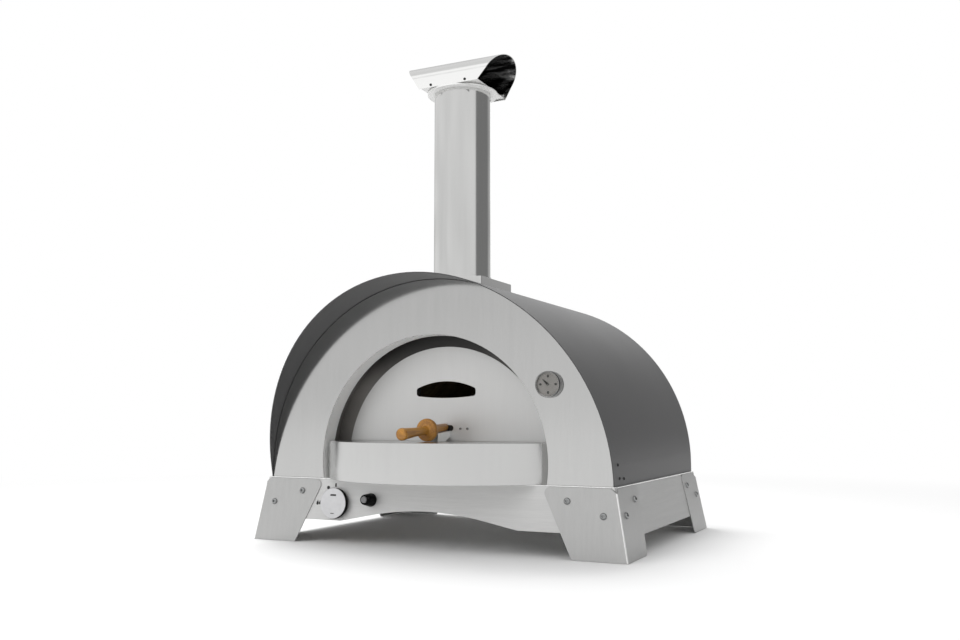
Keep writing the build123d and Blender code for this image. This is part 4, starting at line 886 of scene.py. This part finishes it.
# The cup's side: a lighter steel at the foot and a near-black one above, painted reflections.
cup.data.materials.append(brushed("gauge_foot_painted_light", 0.46, 0.34, (2.0, 2.0, 2.0), streaks=0.02))
cup.data.materials.append(brushed("gauge_ring_painted_dark", 0.04, 0.30, even, streaks=0.05))
foot_rise = 0.0071
wall_radius = 0.0290
for face in cup.data.polygons:
    rise = faceplate_y - face.center.y
    if abs(face.normal.y) < 0.5 and (face.center - gauge_spot).xz.length > wall_radius:
        face.material_index = 1 if rise < foot_rise else 2
print_grey = Finish("dial_print")
sheen = print_grey.noise(print_grey.place(), 300.0, 3.0)
shade = print_grey.noise(print_grey.place(), 30.0, 2.0)
coat(
    print_grey.set(
        Base_Color=print_grey.blend(shade, (0.212, 0.203, 0.195), (0.272, 0.261, 0.251)),
        Roughness=0.45 + 0.1 * (sheen - 0.5),
        Normal=print_grey.bump(sheen, 0.05, 0.0001),
    ),
    "gauge_dial",
)
ink_and_shade = Finish("black_ink_and_painted_shade")
ink_grain = ink_and_shade.noise(ink_and_shade.place(), 900.0, 2.0)
black_ink_and_painted_shade = ink_and_shade.set(
    Base_Color=ink_and_shade.blend(ink_grain, (0.006, 0.006, 0.006), (0.016, 0.016, 0.016)),
    Roughness=0.5 + 0.1 * (ink_grain - 0.5),
)


def mark(name, points, thickness=0.00012):
    """A thin mark, printed on most pieces and painted shade on the knob: a flat outline with a
    little thickness, at the origin.
    """
    bpy.ops.object.select_all(action="DESELECT")
    bpy.ops.mesh.primitive_circle_add(vertices=len(points), radius=0.001, fill_type="NGON")
    made = bpy.context.active_object
    made.name = name
    for point, (x, y) in zip(made.data.vertices, points):
        point.co = (x, y, 0.0)
    bpy.ops.object.mode_set(mode="EDIT")
    bpy.ops.mesh.select_all(action="SELECT")
    bpy.ops.mesh.extrude_region_move(TRANSFORM_OT_translate={"value": (0, 0, thickness)})
    bpy.ops.mesh.select_all(action="SELECT")
    bpy.ops.mesh.normals_make_consistent(inside=False)
    bpy.ops.object.mode_set(mode="OBJECT")
    return made


def oval(width, height, y=0.0):
    """Points of an oval whose centre is y above the origin."""
    turns = [2 * pi * step / 20 for step in range(20)]
    return [(width / 2 * cos(turn), y + height / 2 * sin(turn)) for turn in turns]


dial_face = gauge_seat @ Matrix.Translation((0, 0, 0.0090))
for number in range(4):
    bold = mark(f"dial_mark_{number + 1}", oval(0.0056, 0.0068, 0.0188))
    set_down(bold, dial_face @ Matrix.Rotation(number * pi / 2, 4, "Z"))
    dress(bold, black_ink_and_painted_shade, "root", "gauge_pointer")
tick_grey = Finish("tick_grey")
tick_grain = tick_grey.noise(tick_grey.place(), 900.0, 2.0)
tick_ink_and_painted_shade = tick_grey.set(
    Base_Color=tick_grey.blend(tick_grain, (0.07, 0.07, 0.07), (0.11, 0.11, 0.11)), Roughness=0.5
)
for number in range(24):
    if number % 6:
        reach = 0.0245 if number % 3 else 0.0250
        tick = mark(
            f"dial_tick_{number + 1}",
            [(-0.0003, 0.0228), (0.0003, 0.0228), (0.0003, reach), (-0.0003, reach)],
        )
        set_down(tick, dial_face @ Matrix.Rotation(number * pi / 12, 4, "Z"))
        dress(tick, tick_ink_and_painted_shade, "root", "gauge_pointer")
needle = mark(
    "needle",
    [
        (-0.0007, 0.0168), (-0.0018, 0.0110), (-0.0023, 0.0050), (-0.0026, 0.0012), (-0.0026, 0.0),
        (-0.0022, -0.0014), (-0.0013, -0.0023), (0.0, -0.0026), (0.0013, -0.0023),
        (0.0022, -0.0014), (0.0026, 0.0), (0.0026, 0.0012), (0.0023, 0.0050), (0.0018, 0.0110),
        (0.0007, 0.0168),
    ],
    thickness=0.0008,
)
needle_turn = radians(47)
needle_seat = gauge_seat @ Matrix.Translation((0, 0, 0.0105))
set_down(needle, needle_seat @ Matrix.Rotation(needle_turn, 4, "Z"))
dress(needle, black_ink_and_painted_shade, "needle", "gauge_pointer", "gauge_needle")
pane = Finish("gauge_pane")
smear = pane.noise(pane.place(), 60.0, 3.0)
gauge_glass = pane.set(
    Base_Color=pane.blend(smear, (0.96, 0.96, 0.95), (0.99, 0.99, 0.98)),
    Roughness=0.02 + 0.03 * smear,
    Transmission_Weight=1.0,
    IOR=1.08,
)
glass = turned(
    "domed_glass",
    [
        (0.0, 0.01265), (0.0279, 0.01265), (0.0283, 0.0130), (0.0283, 0.0137), (0.0279, 0.0141),
        (0.0200, 0.0144), (0.0100, 0.0146), (0.0, 0.01465),
    ],
    steps=64,
)
set_down(glass, gauge_seat)
dress(glass, gauge_glass, "root", "gauge_pane", "gauge_glass")


# Knob: a moulded black body under a spun aluminium face with two dark marks across it, painted
# shade in place of two grooves. Round it the apron carries an off dot, a spark tick and two
# flames, printed in black.
def on_apron(x, height):
    """The place of a piece that stands on the front apron, which is behind the legs' sheet."""
    leg_sheet = 0.0025
    return seat((x, front_y + leg_sheet + end_slope * height, height), (0.0, -1.0, end_slope))


knob_low, knob_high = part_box("control_knob")
knob_x = (knob_low.x + knob_high.x) / 2
knob_seat = on_apron(knob_x, 0.099)
moulded = Finish("moulded_black")
skin = moulded.noise(moulded.place(), 800.0, 3.0)
rub = moulded.noise(moulded.place(), 25.0, 3.0)
black_plastic = moulded.set(
    Base_Color=moulded.blend(rub, (0.003, 0.003, 0.003), (0.008, 0.008, 0.008)),
    Roughness=0.36 + 0.14 * (rub - 0.5),
    Specular_IOR_Level=0.05,
    Normal=moulded.bump(skin, 0.12, 0.0002),
)
knob_body = turned(
    "knob_body",
    [
        (0.0, 0.0134), (0.0041, 0.0134), (0.0041, 0.0043), (0.0368, 0.0043), (0.0378, 0.0048),
        (0.0380, 0.0058), (0.0380, 0.0144), (0.0378, 0.0149), (0.0374, 0.0150), (0.0, 0.0150),
    ],
    steps=96,
)
set_down(knob_body, knob_seat)
dress(knob_body, black_plastic, "knob", "black_plastic", "control_knob")
spun = Finish("spun_aluminium")
swirl = spun.noise(spun.place((14.0, 14.0, 14.0)), 6.0, 3.0)
frost = spun.noise(spun.place(), 1200.0, 2.0)
knob_silver = spun.set(
    Base_Color=spun.blend(swirl, (0.60, 0.60, 0.61), (0.72, 0.72, 0.73)),
    Metallic=1.0,
    Roughness=0.34 + 0.10 * (swirl - 0.5),
    Normal=spun.bump(frost, 0.06, 0.0001),
)
knob_face = turned(
    "knob_face",
    [
        (0.0, 0.01505), (0.0374, 0.01505), (0.0376, 0.0154), (0.0375, 0.0160), (0.0370, 0.0165),
        (0.0360, 0.0166), (0.0350, 0.0165), (0.0, 0.0165),
    ],
    steps=96,
)
set_down(knob_face, knob_seat)
dress(knob_face, knob_silver, "knob", "knob_metal", "control_knob")
face_rise = 0.0165
# Painted shade: the two dark marks on the face stand for the shade in two grooves.
groove_shade = [(-0.0086, -0.0020), (0.0086, -0.0020), (0.0082, 0.0022), (-0.0082, 0.0022)]
upper = mark("knob_pointer", groove_shade)
set_down(upper, knob_seat @ Matrix.Translation((0.0, 0.0200, face_rise)))
dress(upper, black_ink_and_painted_shade, "knob", "black_plastic")
lower = mark("knob_lower_mark", [(x * 0.6, y * 0.5) for x, y in groove_shade])
set_down(lower, knob_seat @ Matrix.Translation((0.0, -0.0250, face_rise)))
dress(lower, tick_ink_and_painted_shade, "knob", "black_plastic")
flame = [
    (0.0, -0.5), (0.20, -0.46), (0.33, -0.32), (0.36, -0.14), (0.28, 0.06), (0.14, 0.22),
    (0.04, 0.50), (-0.06, 0.26), (-0.12, 0.10), (-0.20, 0.16), (-0.34, -0.10), (-0.33, -0.32),
    (-0.20, -0.46),
]
square = [(-1, -1), (1, -1), (1, 1), (-1, 1)]
signs = [  # name, height, distance from the knob's middle, points
    ("off_dot", 0.1370, -0.0270, oval(0.0088, 0.0088)),
    ("spark_tick", 0.1440, -0.0048, [(x * 0.0022, y * 0.0046) for x, y in square]),
    ("large_flame", 0.1000, -0.0570, [(x * 0.0105, y * 0.0140) for x, y in flame]),
    ("small_flame", 0.1000, -0.0500, [(x * 0.0080, y * 0.0115) for x, y in flame]),
]
for name, height, shift, points in signs:
    sign = mark(name, points, thickness=0.0002)
    set_down(sign, on_apron(knob_x + shift, height))
    dress(sign, black_ink_and_painted_shade, "root", "black_plastic")

# Igniter: a moulded black bezel that tapers towards a ringed grey push button, with its body
# and spring behind the apron.
button_low, button_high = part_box("igniter_button")
igniter_seat = on_apron((button_low.x + button_high.x) / 2, 0.111)
bezel = turned(
    "igniter_cone",
    [
        (0.0081, -0.017), (0.0110, -0.017), (0.0110, 0.0), (0.0158, 0.0), (0.0163, 0.0006),
        (0.0164, 0.0030), (0.0158, 0.0060), (0.0148, 0.0140), (0.0138, 0.0220), (0.0130, 0.0280),
        (0.0122, 0.0308), (0.0108, 0.0323), (0.0090, 0.0325), (0.0083, 0.0323), (0.0081, 0.0318),
        (0.0081, -0.017),
    ],
    steps=64,
)
set_down(bezel, igniter_seat)
dress(bezel, black_plastic, "root", "black_plastic", "igniter_bezel")
coat(black_plastic, "igniter_body")
cap_grey = Finish("button_grey")
speckle = cap_grey.noise(cap_grey.place(), 700.0, 3.0)
patch = cap_grey.noise(cap_grey.place(), 60.0, 2.0)
button_grey = cap_grey.set(
    Base_Color=cap_grey.blend(patch, (0.25, 0.25, 0.255), (0.34, 0.34, 0.345)),
    Roughness=0.32 + 0.12 * (speckle - 0.5),
    Normal=cap_grey.bump(speckle, 0.08, 0.0001),
)
button = turned(
    "ringed_button",
    [
        (0.0, -0.022), (0.0030, -0.022), (0.0030, -0.006), (0.0073, -0.006), (0.0078, -0.0055),
        (0.0078, 0.0340), (0.0075, 0.0349), (0.0067, 0.0355), (0.0056, 0.0355), (0.0051, 0.0345),
        (0.0044, 0.0345), (0.0038, 0.0355), (0.0026, 0.0355), (0.0021, 0.0347), (0.0, 0.0346),
    ],
    steps=48,
)
set_down(button, igniter_seat)
dress(button, button_grey, "igniter_push", "grey_plastic", "igniter_button")
